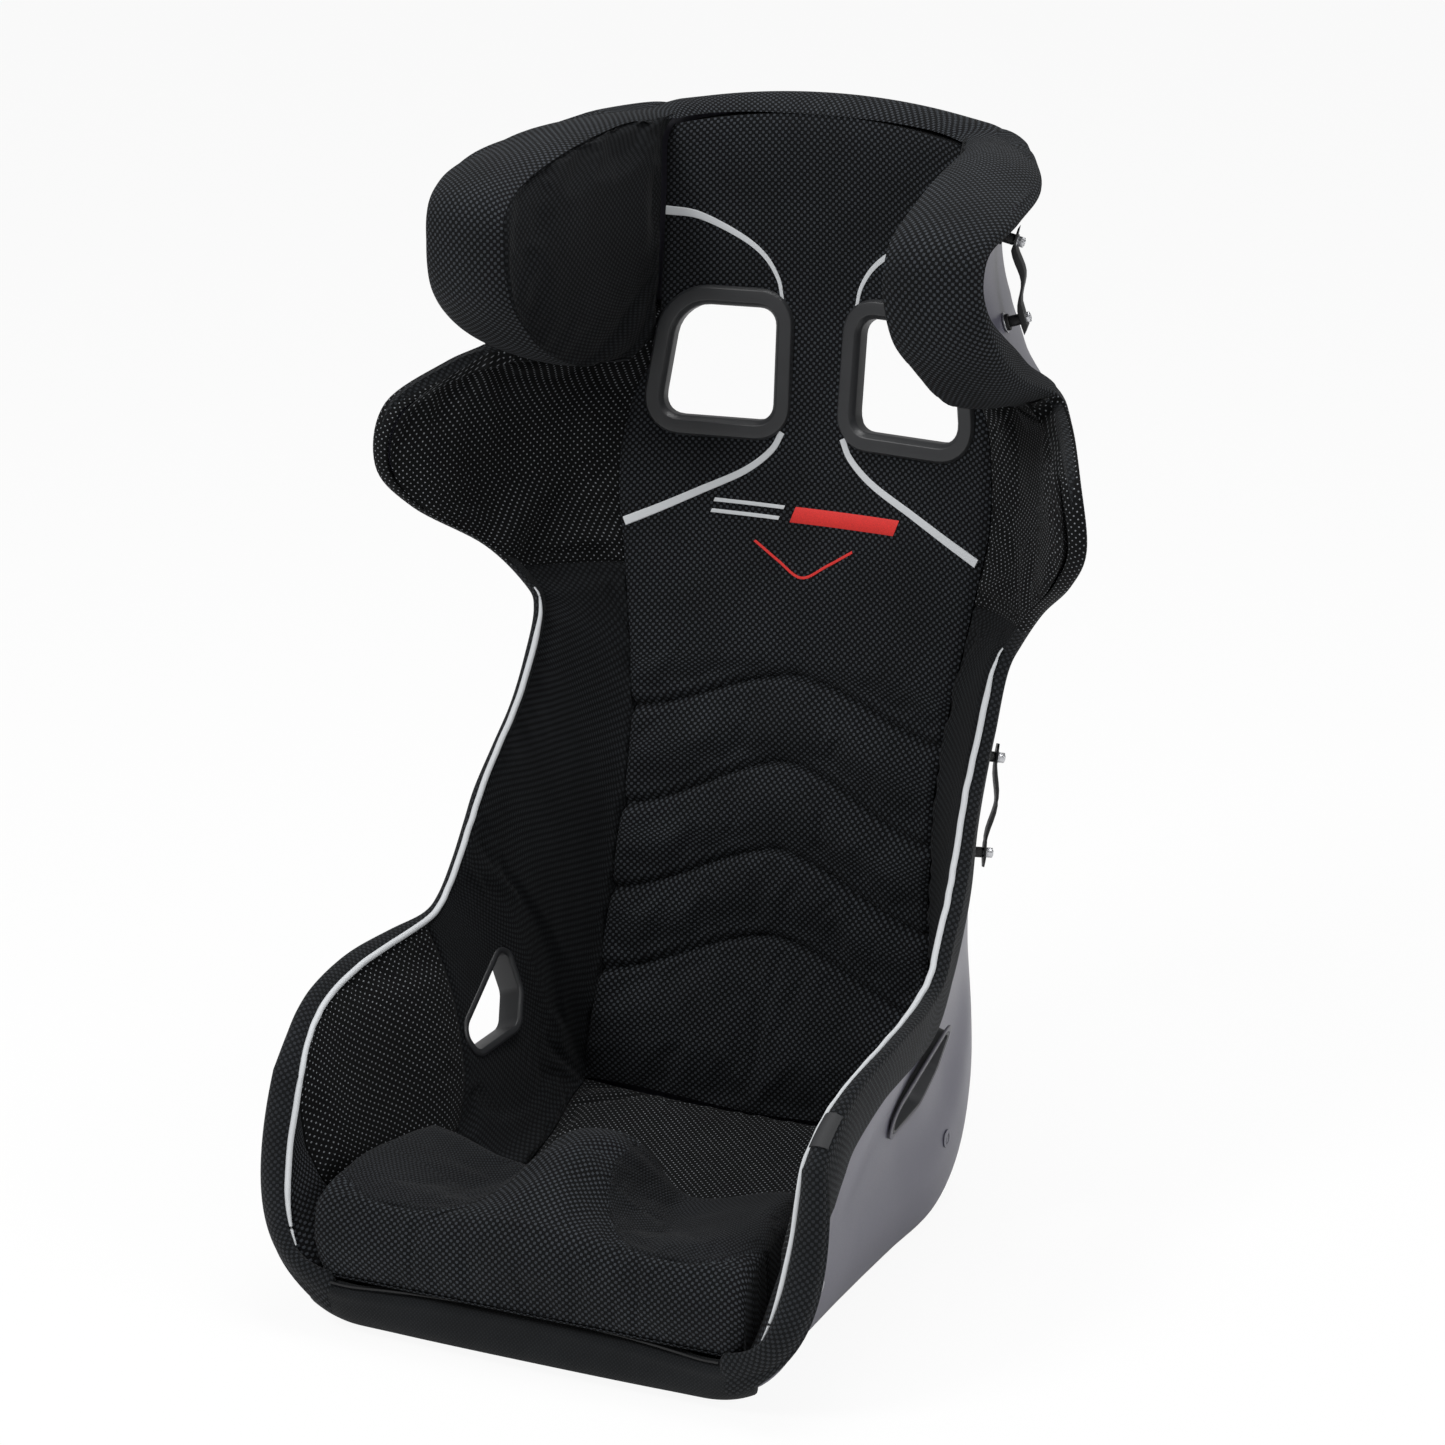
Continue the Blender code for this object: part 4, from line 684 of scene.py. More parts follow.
def panel(
    name: str, front: Array, back: Array, finish: Finish, side: Side = Side.RIGHT, uv: Array | None = None
) -> bpy.types.Object:
    """Closed panel between two grids of points.

    Args:
        name: the piece's name.
        front: grid of points on the face.
        back: grid of points behind it, of the same size.
        finish: what it is made of.
        side: the side of the seat it is made for, from points of the right side.
        uv: metres along the cloth at each point of the face, or nothing to measure them.

    Returns:
        The object.
    """
    rows, columns = front.shape[:2]
    count = rows * columns
    uv = cloth_uv(front) if uv is None else uv
    under, gap = np.array(uv), np.linalg.norm(front - back, axis=-1) * MM
    under[:, 0, 0] -= gap[:, 0]
    under[:, -1, 0] += gap[:, -1]
    under[0, :, 1] -= gap[0]
    under[-1, :, 1] += gap[-1]
    index = np.arange(count).reshape(rows, columns)
    a, b, c, d = index[:-1, :-1], index[:-1, 1:], index[1:, 1:], index[1:, :-1]
    quads = np.stack([a, b, c, d], axis=-1).reshape(-1, 4)
    faces = quads.tolist() + (quads[:, ::-1] + count).tolist()
    ring = [int(index[i, j]) for i, j in border_of(rows, columns)]
    for k, here in enumerate(ring):
        there = ring[(k + 1) % len(ring)]
        faces.append([here, here + count, there + count, there])
    points = np.concatenate([front.reshape(-1, 3), back.reshape(-1, 3)]) * side.flip
    flat = np.concatenate([uv.reshape(-1, 2), under.reshape(-1, 2)])
    return build(name, points, faces, flat, finish)


def swept(
    name: str, sections: Array, finish: Finish, side: Side = Side.RIGHT, smooth: float = 60.0
) -> bpy.types.Object:
    """Closed body through closed sections.

    Args:
        name: the piece's name.
        sections: points as (section, point, 3).
        finish: what it is made of.
        side: the side of the seat it is made for, from points of the right side.
        smooth: angle in degrees up to which edges are shaded smooth.

    Returns:
        The object.
    """
    count, size = sections.shape[:2]
    u = lengths(sections, 1)
    u = u - u[:, size // 3 : size // 3 + 1]
    v = np.broadcast_to(lengths(sections, 0)[:, size // 3 : size // 3 + 1], u.shape)
    uv = np.stack([v, u], axis=-1).reshape(-1, 2) * MM
    index = np.arange(count * size).reshape(count, size)
    a, b = index[:-1], np.roll(index[:-1], -1, axis=1)
    c, d = np.roll(index[1:], -1, axis=1), index[1:]
    faces = np.stack([a, b, c, d], axis=-1).reshape(-1, 4).tolist()
    faces += [index[0, ::-1].tolist(), index[-1].tolist()]
    return build(name, sections.reshape(-1, 3) * side.flip, faces, uv, finish, smooth)


def closing(sections: Array, at_start: bool, at_end: bool, steps: int = 5) -> Array:
    """Sections with rounded ends, by drawing extra ones in towards their middles."""
    spin = np.linspace(0, 1, steps + 1)[:-1]
    scale = np.sin(0.5 * math.pi * (spin * 0.94 + 0.06))
    parts = [sections]
    for wanted, edge, inner in ((at_start, 0, 1), (at_end, -1, -2)):
        if not wanted:
            continue
        centre = sections[edge].mean(axis=0)
        ahead = unit(centre - sections[inner].mean(axis=0))
        radius = np.linalg.norm(sections[edge] - centre, axis=1).mean() * 0.5
        rise, rim = ahead * radius, sections[edge] - centre
        extra = np.stack([centre + rise * math.sqrt(1 - f * f) + rim * f for f in scale])
        parts = [extra, *parts] if edge == 0 else [*parts, extra[::-1]]
    return np.concatenate(parts)


def tube(path: Array, radius: Array | float, sides: int = 12) -> Array:
    """Round sections along a path, as (section, point, 3)."""
    ahead = unit(np.gradient(path, axis=0))
    up = np.array([0.31, 0.2, 0.93])
    first = unit(np.cross(ahead, up))
    second = np.cross(ahead, first)
    angle = np.linspace(0, math.tau, sides, endpoint=False)
    radius = np.broadcast_to(np.asarray(radius, float), (len(path),))[:, None, None]
    ring = first[:, None, :] * np.cos(angle)[None, :, None] + second[:, None, :] * np.sin(angle)[None, :, None]
    return path[:, None, :] + ring * radius


def inflate(
    piece: bpy.types.Object, held: Array, pressure: float = 3.0, cap: float = 4.0, slack: float = 0.02
) -> None:
    """Lets a sewn cover swell and pucker between its seams, by simulating its cloth.

    Args:
        piece: the closed cover.
        held: how firmly each vertex is held, from 0 to 1.
        pressure: push of the foam from inside.
        cap: how far in mm a vertex may move.
        slack: how much longer than its frame the cloth is cut.
    """
    group = piece.vertex_groups.new(name="held")
    levels = np.round(np.clip(held, 0, 1) * 10) / 10
    for level in np.unique(levels):
        group.add(np.flatnonzero(levels == level).tolist(), float(level), "REPLACE")
    cloth = piece.modifiers.new("cloth", "CLOTH")
    cloth.settings.quality = 4
    cloth.settings.mass = 0.2
    cloth.settings.vertex_group_mass = "held"
    cloth.settings.use_pressure = True
    cloth.settings.uniform_pressure_force = pressure
    cloth.settings.shrink_min = -slack
    cloth.settings.effector_weights.gravity = 0.0
    cloth.collision_settings.use_collision = False
    scene = bpy.context.scene
    for step in range(1, CLOTH_FRAMES + 1):
        scene.frame_set(step)
    start, there = np.empty(len(held) * 3, np.float32), np.empty(len(held) * 3, np.float32)
    piece.data.vertices.foreach_get("co", start)
    piece.evaluated_get(bpy.context.evaluated_depsgraph_get()).data.vertices.foreach_get("co", there)
    move = (there - start).reshape(-1, 3)
    length = np.linalg.norm(move, axis=1, keepdims=True)
    move *= np.minimum(1.0, cap * MM / np.maximum(length, 1e-9))
    piece.modifiers.remove(cloth)
    piece.vertex_groups.remove(group)
    piece.data.vertices.foreach_set("co", (start.reshape(-1, 3) + move).ravel())
    piece.data.update()
    scene.frame_set(1)
    LOG.info("%s: cloth moved up to %.1f mm", piece.name, float(length.max()) / MM)


def held_grid(front: Array, firm: Array | float = 0.0) -> Array:
    """How firmly a panel's vertices are held: its back and borders fully, its face as told."""
    face = np.broadcast_to(np.asarray(firm, float), front.shape[:2]).copy()
    face[[0, -1], :] = 1.0
    face[:, [0, -1]] = 1.0
    return np.concatenate([face.ravel(), np.ones(face.size)])


@dataclass
class Piece:
    """Ties pieces of the seat to their bodies, hides the CAD nodes they stand for and reports them."""

    made: list = field(default_factory=list)

    def keep(
        self,
        piece: bpy.types.Object,
        finish: Finish,
        nodes: tuple[str, ...] = (),
        fill: float | None = None,
        body: str = "seat",
    ) -> bpy.types.Object:
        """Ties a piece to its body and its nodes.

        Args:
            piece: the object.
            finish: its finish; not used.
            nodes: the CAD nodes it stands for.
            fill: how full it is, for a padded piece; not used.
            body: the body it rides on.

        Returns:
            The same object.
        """
        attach(piece, body)
        if nodes:
            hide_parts(*nodes)
        self.made.append(piece)
        LOG.info("%s: %d faces", piece.name, len(piece.data.polygons))
        return piece


# Shell
@dataclass
class Outline:
    """Rounded outline of a slot in its own plane."""

    corners: tuple[Place, ...]
    radii: tuple[float, ...]

    def grown(self, amount: float) -> "Outline":
        """The outline moved outwards all round."""
        points = np.array(self.corners)
        count = len(points)
        moved = []
        for k in range(count):
            into, away = unit(points[k] - points[k - 1]), unit(points[(k + 1) % count] - points[k])
            n0, n1 = np.array([into[1], -into[0]]), np.array([away[1], -away[0]])
            moved.append(tuple(points[k] + (n0 + n1) * amount / (1 + float(n0 @ n1))))
        return Outline(tuple(moved), tuple(max(r + amount, 0.5) for r in self.radii))

    def mirrored(self, side: Side) -> "Outline":
        """The outline for this side, still anticlockwise."""
        if side is Side.RIGHT:
            return self
        return Outline(tuple((-x, y) for x, y in self.corners)[::-1], self.radii[::-1])


@dataclass
class Seat:
    """Place of a slot: an origin, and axes of which the last faces the driver."""

    origin: Array
    right: Array
    up: Array
    facing: Array

    def matrix(self) -> Matrix:
        """Transform from the slot's plane, in metres."""
        columns = np.eye(4)
        columns[:3, 0], columns[:3, 1], columns[:3, 2] = self.right, self.up, self.facing
        columns[:3, 3] = self.origin * MM
        return Matrix(columns.tolist())


def choose(mesh: bpy.types.Mesh, test) -> None:
    """In edit mode, selects only the faces that pass a test on their centre and normal, in mm."""
    work = bmesh.from_edit_mesh(mesh)
    for face in work.faces:
        face.select_set(False)
    for face in work.faces:
        if test(face.calc_center_median() / MM, face.normal):
            face.select_set(True)
    work.select_flush_mode()
    bmesh.update_edit_mesh(mesh)


def start_plate(outline: Outline) -> bpy.types.Object:
    """Flat face of a rounded outline, left in edit mode with the face selected."""
    bpy.ops.object.select_all(action="DESELECT")
    bpy.ops.mesh.primitive_circle_add(vertices=len(outline.corners), radius=1.0, fill_type="NGON")
    plate = bpy.context.active_object
    for vertex, (x, y) in zip(plate.data.vertices, outline.corners):
        vertex.co = (x * MM, y * MM, 0.0)
    bpy.ops.object.mode_set(mode="EDIT")
    bpy.ops.mesh.select_mode(type="VERT")
    count = len(outline.corners)
    for k, (corner, radius) in enumerate(zip(outline.corners, outline.radii)):
        here = np.array(corner)
        back = unit(np.array(outline.corners[k - 1]) - here)
        ahead = unit(np.array(outline.corners[(k + 1) % count]) - here)
        half = 0.5 * math.acos(float(np.clip(back @ ahead, -1, 1)))
        bpy.ops.mesh.select_all(action="DESELECT")
        work = bmesh.from_edit_mesh(plate.data)
        near = min(work.verts, key=lambda v: (v.co / MM - Vector((*corner, 0))).length)
        near.select_set(True)
        bmesh.update_edit_mesh(plate.data)
        bpy.ops.mesh.bevel(offset=radius * MM / math.tan(half), segments=7, affect="VERTICES", offset_type="OFFSET")
    bpy.ops.mesh.select_mode(type="FACE")
    bpy.ops.mesh.select_all(action="SELECT")
    bpy.ops.mesh.normals_make_consistent(inside=False)
    return plate


def bridge_ends(mesh: bpy.types.Mesh) -> None:
    """In edit mode, joins the two end faces, which have the most corners, by a wall."""
    work = bmesh.from_edit_mesh(mesh)
    many = max(len(face.verts) for face in work.faces)
    for face in work.faces:
        face.select_set(len(face.verts) == many)
    bmesh.update_edit_mesh(mesh)
    bpy.ops.mesh.bridge_edge_loops()


def raise_face(height: float) -> None:
    """Extrudes the selected face along Z."""
    bpy.ops.mesh.extrude_region_move(TRANSFORM_OT_translate={"value": (0, 0, height * MM)})


def inset(thick: float, depth: float = 0.0) -> None:
    """Insets the selected faces evenly, in mm."""
    bpy.ops.mesh.inset(thickness=thick * MM, depth=depth * MM, use_even_offset=True)


def settle(
    piece: bpy.types.Object, name: str, matrix: Matrix, finish: Finish | None, bevel: float = 0.0
) -> bpy.types.Object:
    """Leaves edit mode, rounds the edges and applies the place.

    Args:
        piece: the object in edit mode.
        name: its name.
        matrix: its place.
        finish: what it is made of, or nothing for a cutter.
        bevel: radius of the rounded edges in mm.

    Returns:
        The same object at the origin.
    """
    bpy.ops.mesh.select_all(action="SELECT")
    bpy.ops.mesh.normals_make_consistent(inside=False)
    bpy.ops.object.mode_set(mode="OBJECT")
    piece.name = piece.data.name = name
    if bevel:
        rounding = piece.modifiers.new("rounding", "BEVEL")
        rounding.width, rounding.segments, rounding.limit_method = bevel * MM, 3, "ANGLE"
        rounding.angle_limit = math.radians(28)
        bpy.ops.object.modifier_apply(modifier="rounding")
    bpy.ops.object.shade_smooth_by_angle(angle=math.radians(40))
    piece.matrix_world = matrix
    bpy.ops.object.transform_apply(location=True, rotation=True, scale=True)
    if finish:
        piece.data.materials.append(finish.material())
    return piece


def cutter(
    outline: Outline, low: float, high: float, matrix: Matrix, flare: float = 0.0, neck: float = 0.0
) -> bpy.types.Object:
    """Solid of an outline between two heights, widening behind its neck.

    Args:
        outline: the opening at the front.
        low: the lower height.
        high: the upper height.
        matrix: its place.
        flare: how much wider it is at the lower end.
        neck: height down to which it keeps the outline.

    Returns:
        The solid.
    """
    plate = start_plate(outline.grown(flare))
    bpy.ops.transform.translate(value=(0, 0, low * MM))
    if flare:
        raise_face(20.0)
        inset(flare, neck - low - 20.0)
        raise_face(high - neck)
    else:
        raise_face(high - low)
    return settle(plate, "cutter", matrix, None)


def carve(piece: bpy.types.Object, tool: bpy.types.Object) -> None:
    """Cuts a tool out of a piece and removes the tool."""
    bpy.ops.object.select_all(action="DESELECT")
    piece.select_set(True)
    bpy.context.view_layer.objects.active = piece
    cut = piece.modifiers.new("cut", "BOOLEAN")
    cut.operation, cut.object, cut.solver = "DIFFERENCE", tool, "EXACT"
    bpy.ops.object.modifier_apply(modifier="cut")
    bpy.data.objects.remove(tool)


@dataclass
class Slots(Piece):
    """Moulded frames of the four belt slots, with the rings behind the shell."""

    width: float = 97.0
    height: float = 92.0
    centre_x: float = 86.0
    centre_z: float = 650.0
    lean: float = 8.6
    turn: float = 6.5
    face: float = 16.5
    thick: float = 7.0
    sleeve: float = 2.6
    neck: float = 9.0
    flare: float = 15.0
    lap_y: float = -5.0
    lap_z: float = 160.0
    lap_face: float = 6.0
    lap_ring: float = 8.0
    clearance: float = 0.35

    def shoulder_outline(self, side: Side) -> Outline:
        """Opening of a shoulder-belt slot."""
        w, h = self.width / 2, self.height / 2
        return Outline(((-w, -h), (w, -h), (w - 14, h), (-w, h)), (13, 15, 30, 13)).mirrored(side)

    def lap_outline(self) -> Outline:
        """Opening of a lap-belt slot, the same way round on both sides."""
        return Outline(((-40, -32), (20, -32), (37, -8), (37, 23), (29, 29), (-50, -11)), (9, 12, 12, 6, 6, 12))

    def station(self) -> float:
        """Station of the shoulder-belt slots' middle."""
        return float(BUCKET.station_at(BUCKET.pad, np.array([[self.centre_z]]), np.array([0.58]))[0, 0])

    def shoulder_seat(self, side: Side) -> Seat:
        """Place of a shoulder-belt slot on the back cushion."""
        lean, turn = math.radians(self.lean), math.radians(self.turn)
        flat = math.cos(lean)
        facing = np.array([-side.value * math.sin(turn) * flat, -math.cos(turn) * flat, math.sin(lean)])
        right = np.array([math.cos(turn), -side.value * math.sin(turn), 0.0])
        s = self.station()
        across = self.centre_x / float(BUCKET.pad(s, 1.0)[0])
        origin = BUCKET.pad(s, across) * side.flip + facing * 1.2
        return Seat(origin, right, np.cross(facing, right), facing)

    def reach(self, seat: Seat, face, outline: Outline, s: Place, v: Place) -> Place:
        """Lowest and highest reach of a surface over an outline, along the way it faces."""
        stations, places = np.meshgrid(np.linspace(*s, 60), np.linspace(*v, 60), indexing="ij")
        local = face(stations, places).reshape(-1, 3) - seat.origin
        flat = np.stack([local @ seat.right, local @ seat.up], axis=1)
        corners = np.array(outline.corners)
        inside = ((flat > corners.min(axis=0) - 2) & (flat < corners.max(axis=0) + 2)).all(axis=1)
        heights = (local @ seat.facing)[inside]
        return float(heights.min()), float(heights.max())

    def lap_seat(self, side: Side) -> tuple[Seat, float]:
        """Place of a lap-belt slot on the side pad, and the sleeve's depth."""
        s, v = BUCKET.spot(self.lap_y, self.lap_z)
        place, n = BUCKET.shell(s, v), BUCKET.normal(BUCKET.shell, np.array(s), np.array(v))
        right = unit(np.array([0.0, 1.0, 0.0]) - n * n[1])
        up = np.cross(n, right)
        up = up * math.copysign(1.0, up[2])
        seat = Seat(place * side.flip, right * side.flip, up * side.flip, -n * side.flip)
        ranges = (s - 2.5, s + 2.5), (side.value * 1.1, side.value * 1.98)
        low, _ = self.reach(seat, BUCKET.shell, self.lap_outline().grown(3.0), *ranges)
        _, high = self.reach(seat, BUCKET.pad, self.lap_outline().grown(self.lap_face), *ranges)
        seat.origin = seat.origin + seat.facing * (high - 3.0)
        return seat, high - 3.0 - low + 2.2

    def frame(
        self, node: str, outline: Outline, face: float, thick: float, depth: float, matrix: Matrix
    ) -> None:
        """Frame with a rounded face and a sleeve through the shell.

        Args:
            node: the CAD node it stands for.
            outline: the opening.
            face: width of the face round it.
            thick: how far the face stands proud.
            depth: length of the sleeve.
            matrix: its place.
        """
        plate = start_plate(outline.grown(face))
        raise_face(thick * 0.55)
        choose(plate.data, lambda c, n: n.z > 0.9)
        inset(2.2, thick * 0.45)
        inset(max(face - 6.4, 0.8), 0.0)
        inset(min(2.6, face - 3.0), -thick * 0.4)
        inset(1.4 if face > 8 else 0.9, -thick * 0.3)
        choose(plate.data, lambda c, n: n.z < -0.9 and abs(c.z) < 0.05)
        inset(face - self.sleeve)
        raise_face(-depth)
        inset(self.sleeve - 0.1)
        bridge_ends(plate.data)
        self.keep(settle(plate, node + "_moulding", matrix, BEZEL_PLASTIC, 0.7), BEZEL_PLASTIC, (node,))

    def ring(
        self, node: str, outline: Outline, face: float, thick: float, height: float, matrix: Matrix
    ) -> None:
        """Flat ring round the sleeve's end, with its top at a height."""
        plate = start_plate(outline.grown(face))
        bpy.ops.transform.translate(value=(0, 0, (height - thick) * MM))
        raise_face(thick)
        choose(plate.data, lambda c, n: abs(n.z) > 0.9)
        inset(face - self.sleeve - 0.3)
        bridge_ends(plate.data)
        self.keep(settle(plate, node + "_moulding", matrix, RING_PLASTIC, 0.9), RING_PLASTIC, (node,))

    def fit(self, shell: bpy.types.Object, back: bpy.types.Object, sides: dict) -> None:
        """Makes the frames and rings of both sides and cuts their openings.

        Args:
            shell: the moulded shell.
            back: the back cushion.
            sides: the side pad of each side.
        """
        for side in Side:
            seat, outline = self.shoulder_seat(side), self.shoulder_outline(side)
            s, wide = self.station(), outline.grown(self.face + 2)
            across = side.value * 0.02, side.value * 1.1
            low, _ = self.reach(seat, BUCKET.shell, wide, (s - 2.4, s + 2.4), across)
            matrix, depth = seat.matrix(), 2.0 - low
            opening = outline.grown(self.sleeve + self.clearance)
            for piece in (shell, back):
                carve(piece, cutter(opening, -depth - 20, 20, matrix, self.flare, -self.neck))
            node = "shoulder_slot_bezel_" + side.label
            self.frame(node, outline, self.face, self.thick, self.neck, matrix)
            node, wide = "shoulder_slot_ring_" + side.label, outline.grown(self.flare)
            self.ring(node, wide, self.face - 5.0, 2.6, low - self.clearance, matrix)
            seat, depth = self.lap_seat(side)
            turned = Seat(seat.origin, np.cross(seat.up, seat.facing), seat.up, seat.facing)
            outline = self.lap_outline()
            if turned.right @ seat.right < 0:
                outline = outline.mirrored(Side.LEFT)
            matrix = turned.matrix()
            for piece in (shell, sides[side]):
                carve(piece, cutter(outline.grown(self.sleeve + self.clearance), -depth - 20, 34, matrix))
            self.frame("lap_slot_bezel_" + side.label, outline, self.lap_face, 2.4, depth, matrix)
            self.ring("lap_slot_ring_" + side.label, outline, self.lap_ring, 2.0, 1.85 - depth, matrix)


@dataclass
class Shell(Piece):
    """One-piece moulded bucket with a rounded rim."""

    per_station: int = 6
    columns: int = 121

    def make(self) -> bpy.types.Object:
        """Closed shell between its outer face and its wall's inner face."""
        s = np.linspace(0, BUCKET.last, BUCKET.last * self.per_station + 1)
        stations, places = np.meshgrid(s, np.linspace(-1, 1, self.columns), indexing="ij")
        places = places * blur(BUCKET.rim_at(s), 3.0)[:, None]
        outer = BUCKET.shell(stations, places)
        inner = BUCKET.shell(stations, places, -BUCKET.wall)
        piece = panel("moulded_shell", outer, inner, GREY_GELCOAT)
        rim = piece.modifiers.new("rim", "BEVEL")
        rim.width, rim.segments, rim.limit_method, rim.angle_limit = 1.2 * MM, 2, "ANGLE", math.radians(60)
        bpy.context.view_layer.objects.active = piece
        bpy.ops.object.modifier_apply(modifier="rim")
        return self.keep(piece, GREY_GELCOAT, ("shell",))


# Cushions
@dataclass
class BackCushion(Piece):
    """Long back panel with four sewn chevron channels and puffed cells between them."""

    foot: float = 55.0
    head: float = 842.0
    crown: float = 14.0
    depth: float = 6.5
    channel: float = 3.8
    puff: float = 4.4
    ends: tuple = (148.0, 215.0, 286.0, 366.0)
    rises: tuple = (43.0, 48.0, 48.0, 37.0)

    def rise(self, v: Array) -> Array:
        """Shape of a chevron: 1 in the middle, 0 at the ends."""
        u = np.clip(np.abs(v), 0, 1)
        return 0.7 * 0.5 * (1 + np.cos(math.pi * u)) + 0.3 * (1 - u)

    def relief(self, z: Array, v: Array) -> Array:
        """How far the face stands proud of its plain surface at a height and place across."""
        shape = self.rise(v)
        out = np.zeros(np.broadcast(z, v).shape)
        lines = [end + rise * shape for end, rise in zip(self.ends, self.rises)]
        edges = [np.full_like(out, self.foot - 6.0), *lines]
        for low, high in zip(edges, edges[1:]):
            f = np.clip((z - low) / (high - low), 0, 1)
            inside = (z >= low) & (z < high)
            out = np.where(inside, self.puff * (1 - np.abs(2 * f - 1) ** 2.6), out)
        above = np.clip(z - lines[-1], 0, None)
        tail = self.puff * (1 - np.exp(-above / 9.0)) * np.exp(-above / 160.0)
        out = np.where(z >= lines[-1], tail, out)
        for line in lines:
            out = out - self.depth * np.exp(-((np.abs(z - line) / self.channel) ** 1.6))
        return out

    def at(self, x: float, z: float, proud: float = 0.0) -> Array:
        """Point of the finished face over this x and height."""
        v = 0.8
        for _ in range(6):
            s = float(BUCKET.station_at(BUCKET.pad, np.array([[z]]), np.array([abs(v)]))[0, 0])
            v = abs(x) / max(float(BUCKET.pad(s, 1.0)[0]), 1.0)
        v = math.copysign(v, x)
        lift = float(self.relief(np.array(z), np.array(v))) + proud
        return BUCKET.pad(s, v) - BUCKET.normal(BUCKET.pad, np.array(s), np.array(v)) * lift

    def make(self) -> bpy.types.Object:
        """The panel, before its slots are cut."""
        v = np.linspace(-1, 1, 73)
        level = np.linspace(0, 1, 231)[:, None]
        shape = self.rise(v)[None, :]
        foot = self.foot - 6.0 * shape
        head = self.head + self.crown * (1 - v**2)[None, :]
        z = foot + (head - foot) * level
        s = BUCKET.station_at(BUCKET.pad, z, v)
        places = np.broadcast_to(v, s.shape)
        front = BUCKET.pad(s, places)
        front = front - BUCKET.normal(BUCKET.pad, s, places) * self.relief(z, places)[..., None]
        s = BUCKET.station_at(BUCKET.shell, z, v * 0.93)
        back = BUCKET.shell(s, places * 0.93, -BUCKET.wall - BUCKET.gap - 0.3)
        front = sewn(front, back, Seam(3.2, 7.0, 0.8, 20.0), "e")
        up = lengths(front, 0)[:, 36:37]
        uv = np.stack([front[..., 0], np.broadcast_to(up, s.shape)], axis=-1) * MM
        piece = panel("back_cushion_cover", front, back, WAFFLE, uv=uv)
        firm = np.clip((z - 400) / 40, 0, 1)
        for end, rise in zip(self.ends, self.rises):
            firm = np.maximum(firm, np.clip(1.6 - np.abs(z - end - rise * shape) / 3.0, 0, 1))
        inflate(piece, held_grid(front, firm), 3.0, 4.0)
        return self.keep(piece, WAFFLE, ("back_cushion",), 0.5)

    def stitches(self) -> None:
        """Thread along the foot of each chevron channel."""
        for k, (end, rise) in enumerate(zip(self.ends, self.rises)):
            xs = np.linspace(-138, 138, 90)
            line = np.array([self.at(x, end + rise * float(self.rise(np.array(x / 141.0)))) for x in xs])
            piece = stitch_row(f"channel_stitches_{k + 1}", line, np.array([0, -1.0, 0.2]), 5.0, DARK_THREAD)
            self.keep(piece, DARK_THREAD)


def stitch_row(
    name: str,
    line: Array,
    out: Array,
    pitch: float,
    finish: Finish,
    long: float = 3.2,
    thick: float = 0.7,
) -> bpy.types.Object:
    """Row of rounded stitches along a line.

    Args:
        name: the piece's name.
        line: points of the seam.
        out: way out of the cloth.
        pitch: from one stitch to the next.
        finish: the thread.
        long: length of a stitch.
        thick: thickness of the thread.

    Returns:
        One object with all the stitches.
    """
    run = np.concatenate([[0], np.cumsum(np.linalg.norm(np.diff(line, axis=0), axis=1))])
    places = np.arange(pitch / 2, run[-1], pitch)
    centres = np.stack([np.interp(places, run, line[:, k]) for k in range(3)], axis=1)
    tips = np.stack([np.interp(places + 0.5, run, line[:, k]) for k in range(3)], axis=1)
    ahead = unit(tips - centres)
    across = unit(np.cross(ahead, out))
    proud = np.cross(across, ahead)
    points, faces = [], []
    profile = ((-0.5, 0.0), (-0.34, 0.7), (0.0, 1.0), (0.34, 0.7), (0.5, 0.0))
    for c, a, w, p in zip(centres, ahead, across, proud):
        first = len(points)
        for along, size in profile:
            middle = c + a * along * long + p * thick * (0.15 + 0.35 * size)
            girth = thick * (0.18 + 0.4 * size)
            points += [middle + w * girth, middle + p * girth, middle - w * girth, middle - p * girth]
        for i in range(len(profile) - 1):
            for k in range(4):
                q, n = first + i * 4 + k, first + i * 4 + (k + 1) % 4
                faces.append([q, n, n + 4, q + 4])
        faces += [[first + k for k in (3, 2, 1, 0)], [first + 16 + k for k in range(4)]]
    return build(name, np.array(points), faces, None, finish)


@dataclass
class BaseCushion(Piece):
    """Anti-slip pad on the pan, behind the leg support."""

    start: float = 2.0
    end: float = 8.0
    slot_y: float = -112.0
    slot_width: float = 84.0
    slot_length: float = 26.0
    slot_radius: float = 11.0

    def make(self) -> bpy.types.Object:
        """The pad, with the crotch-strap slot cut through it."""
        s, v = np.meshgrid(np.linspace(self.start, self.end, 90), np.linspace(-1, 1, 61), indexing="ij")
        front, back = BUCKET.pad(s, v), BUCKET.shell(s, v, -BUCKET.wall - BUCKET.gap)
        piece = panel("base_cushion_cover", sewn(front, back, Seam(5.0, 10.0, 2.0, 30.0)), back, GRIP)
        inflate(piece, held_grid(front))
        return self.keep(piece, GRIP, ("base_cushion",), 0.5)

    def cut(self, shell: bpy.types.Object, cushion: bpy.types.Object) -> None:
        """Cuts the crotch-strap slot through the cushion and the shell."""
        x, y = self.slot_width / 2, self.slot_length / 2
        outline = Outline(((-x, -y), (x, -y), (x, y), (-x, y)), (self.slot_radius,) * 4)
        place = Matrix.Translation(Vector((0, self.slot_y, 0)) * MM)
        carve(shell, cutter(outline, -30, 120, place))
        carve(cushion, cutter(outline.grown(1.0), -30, 120, place))


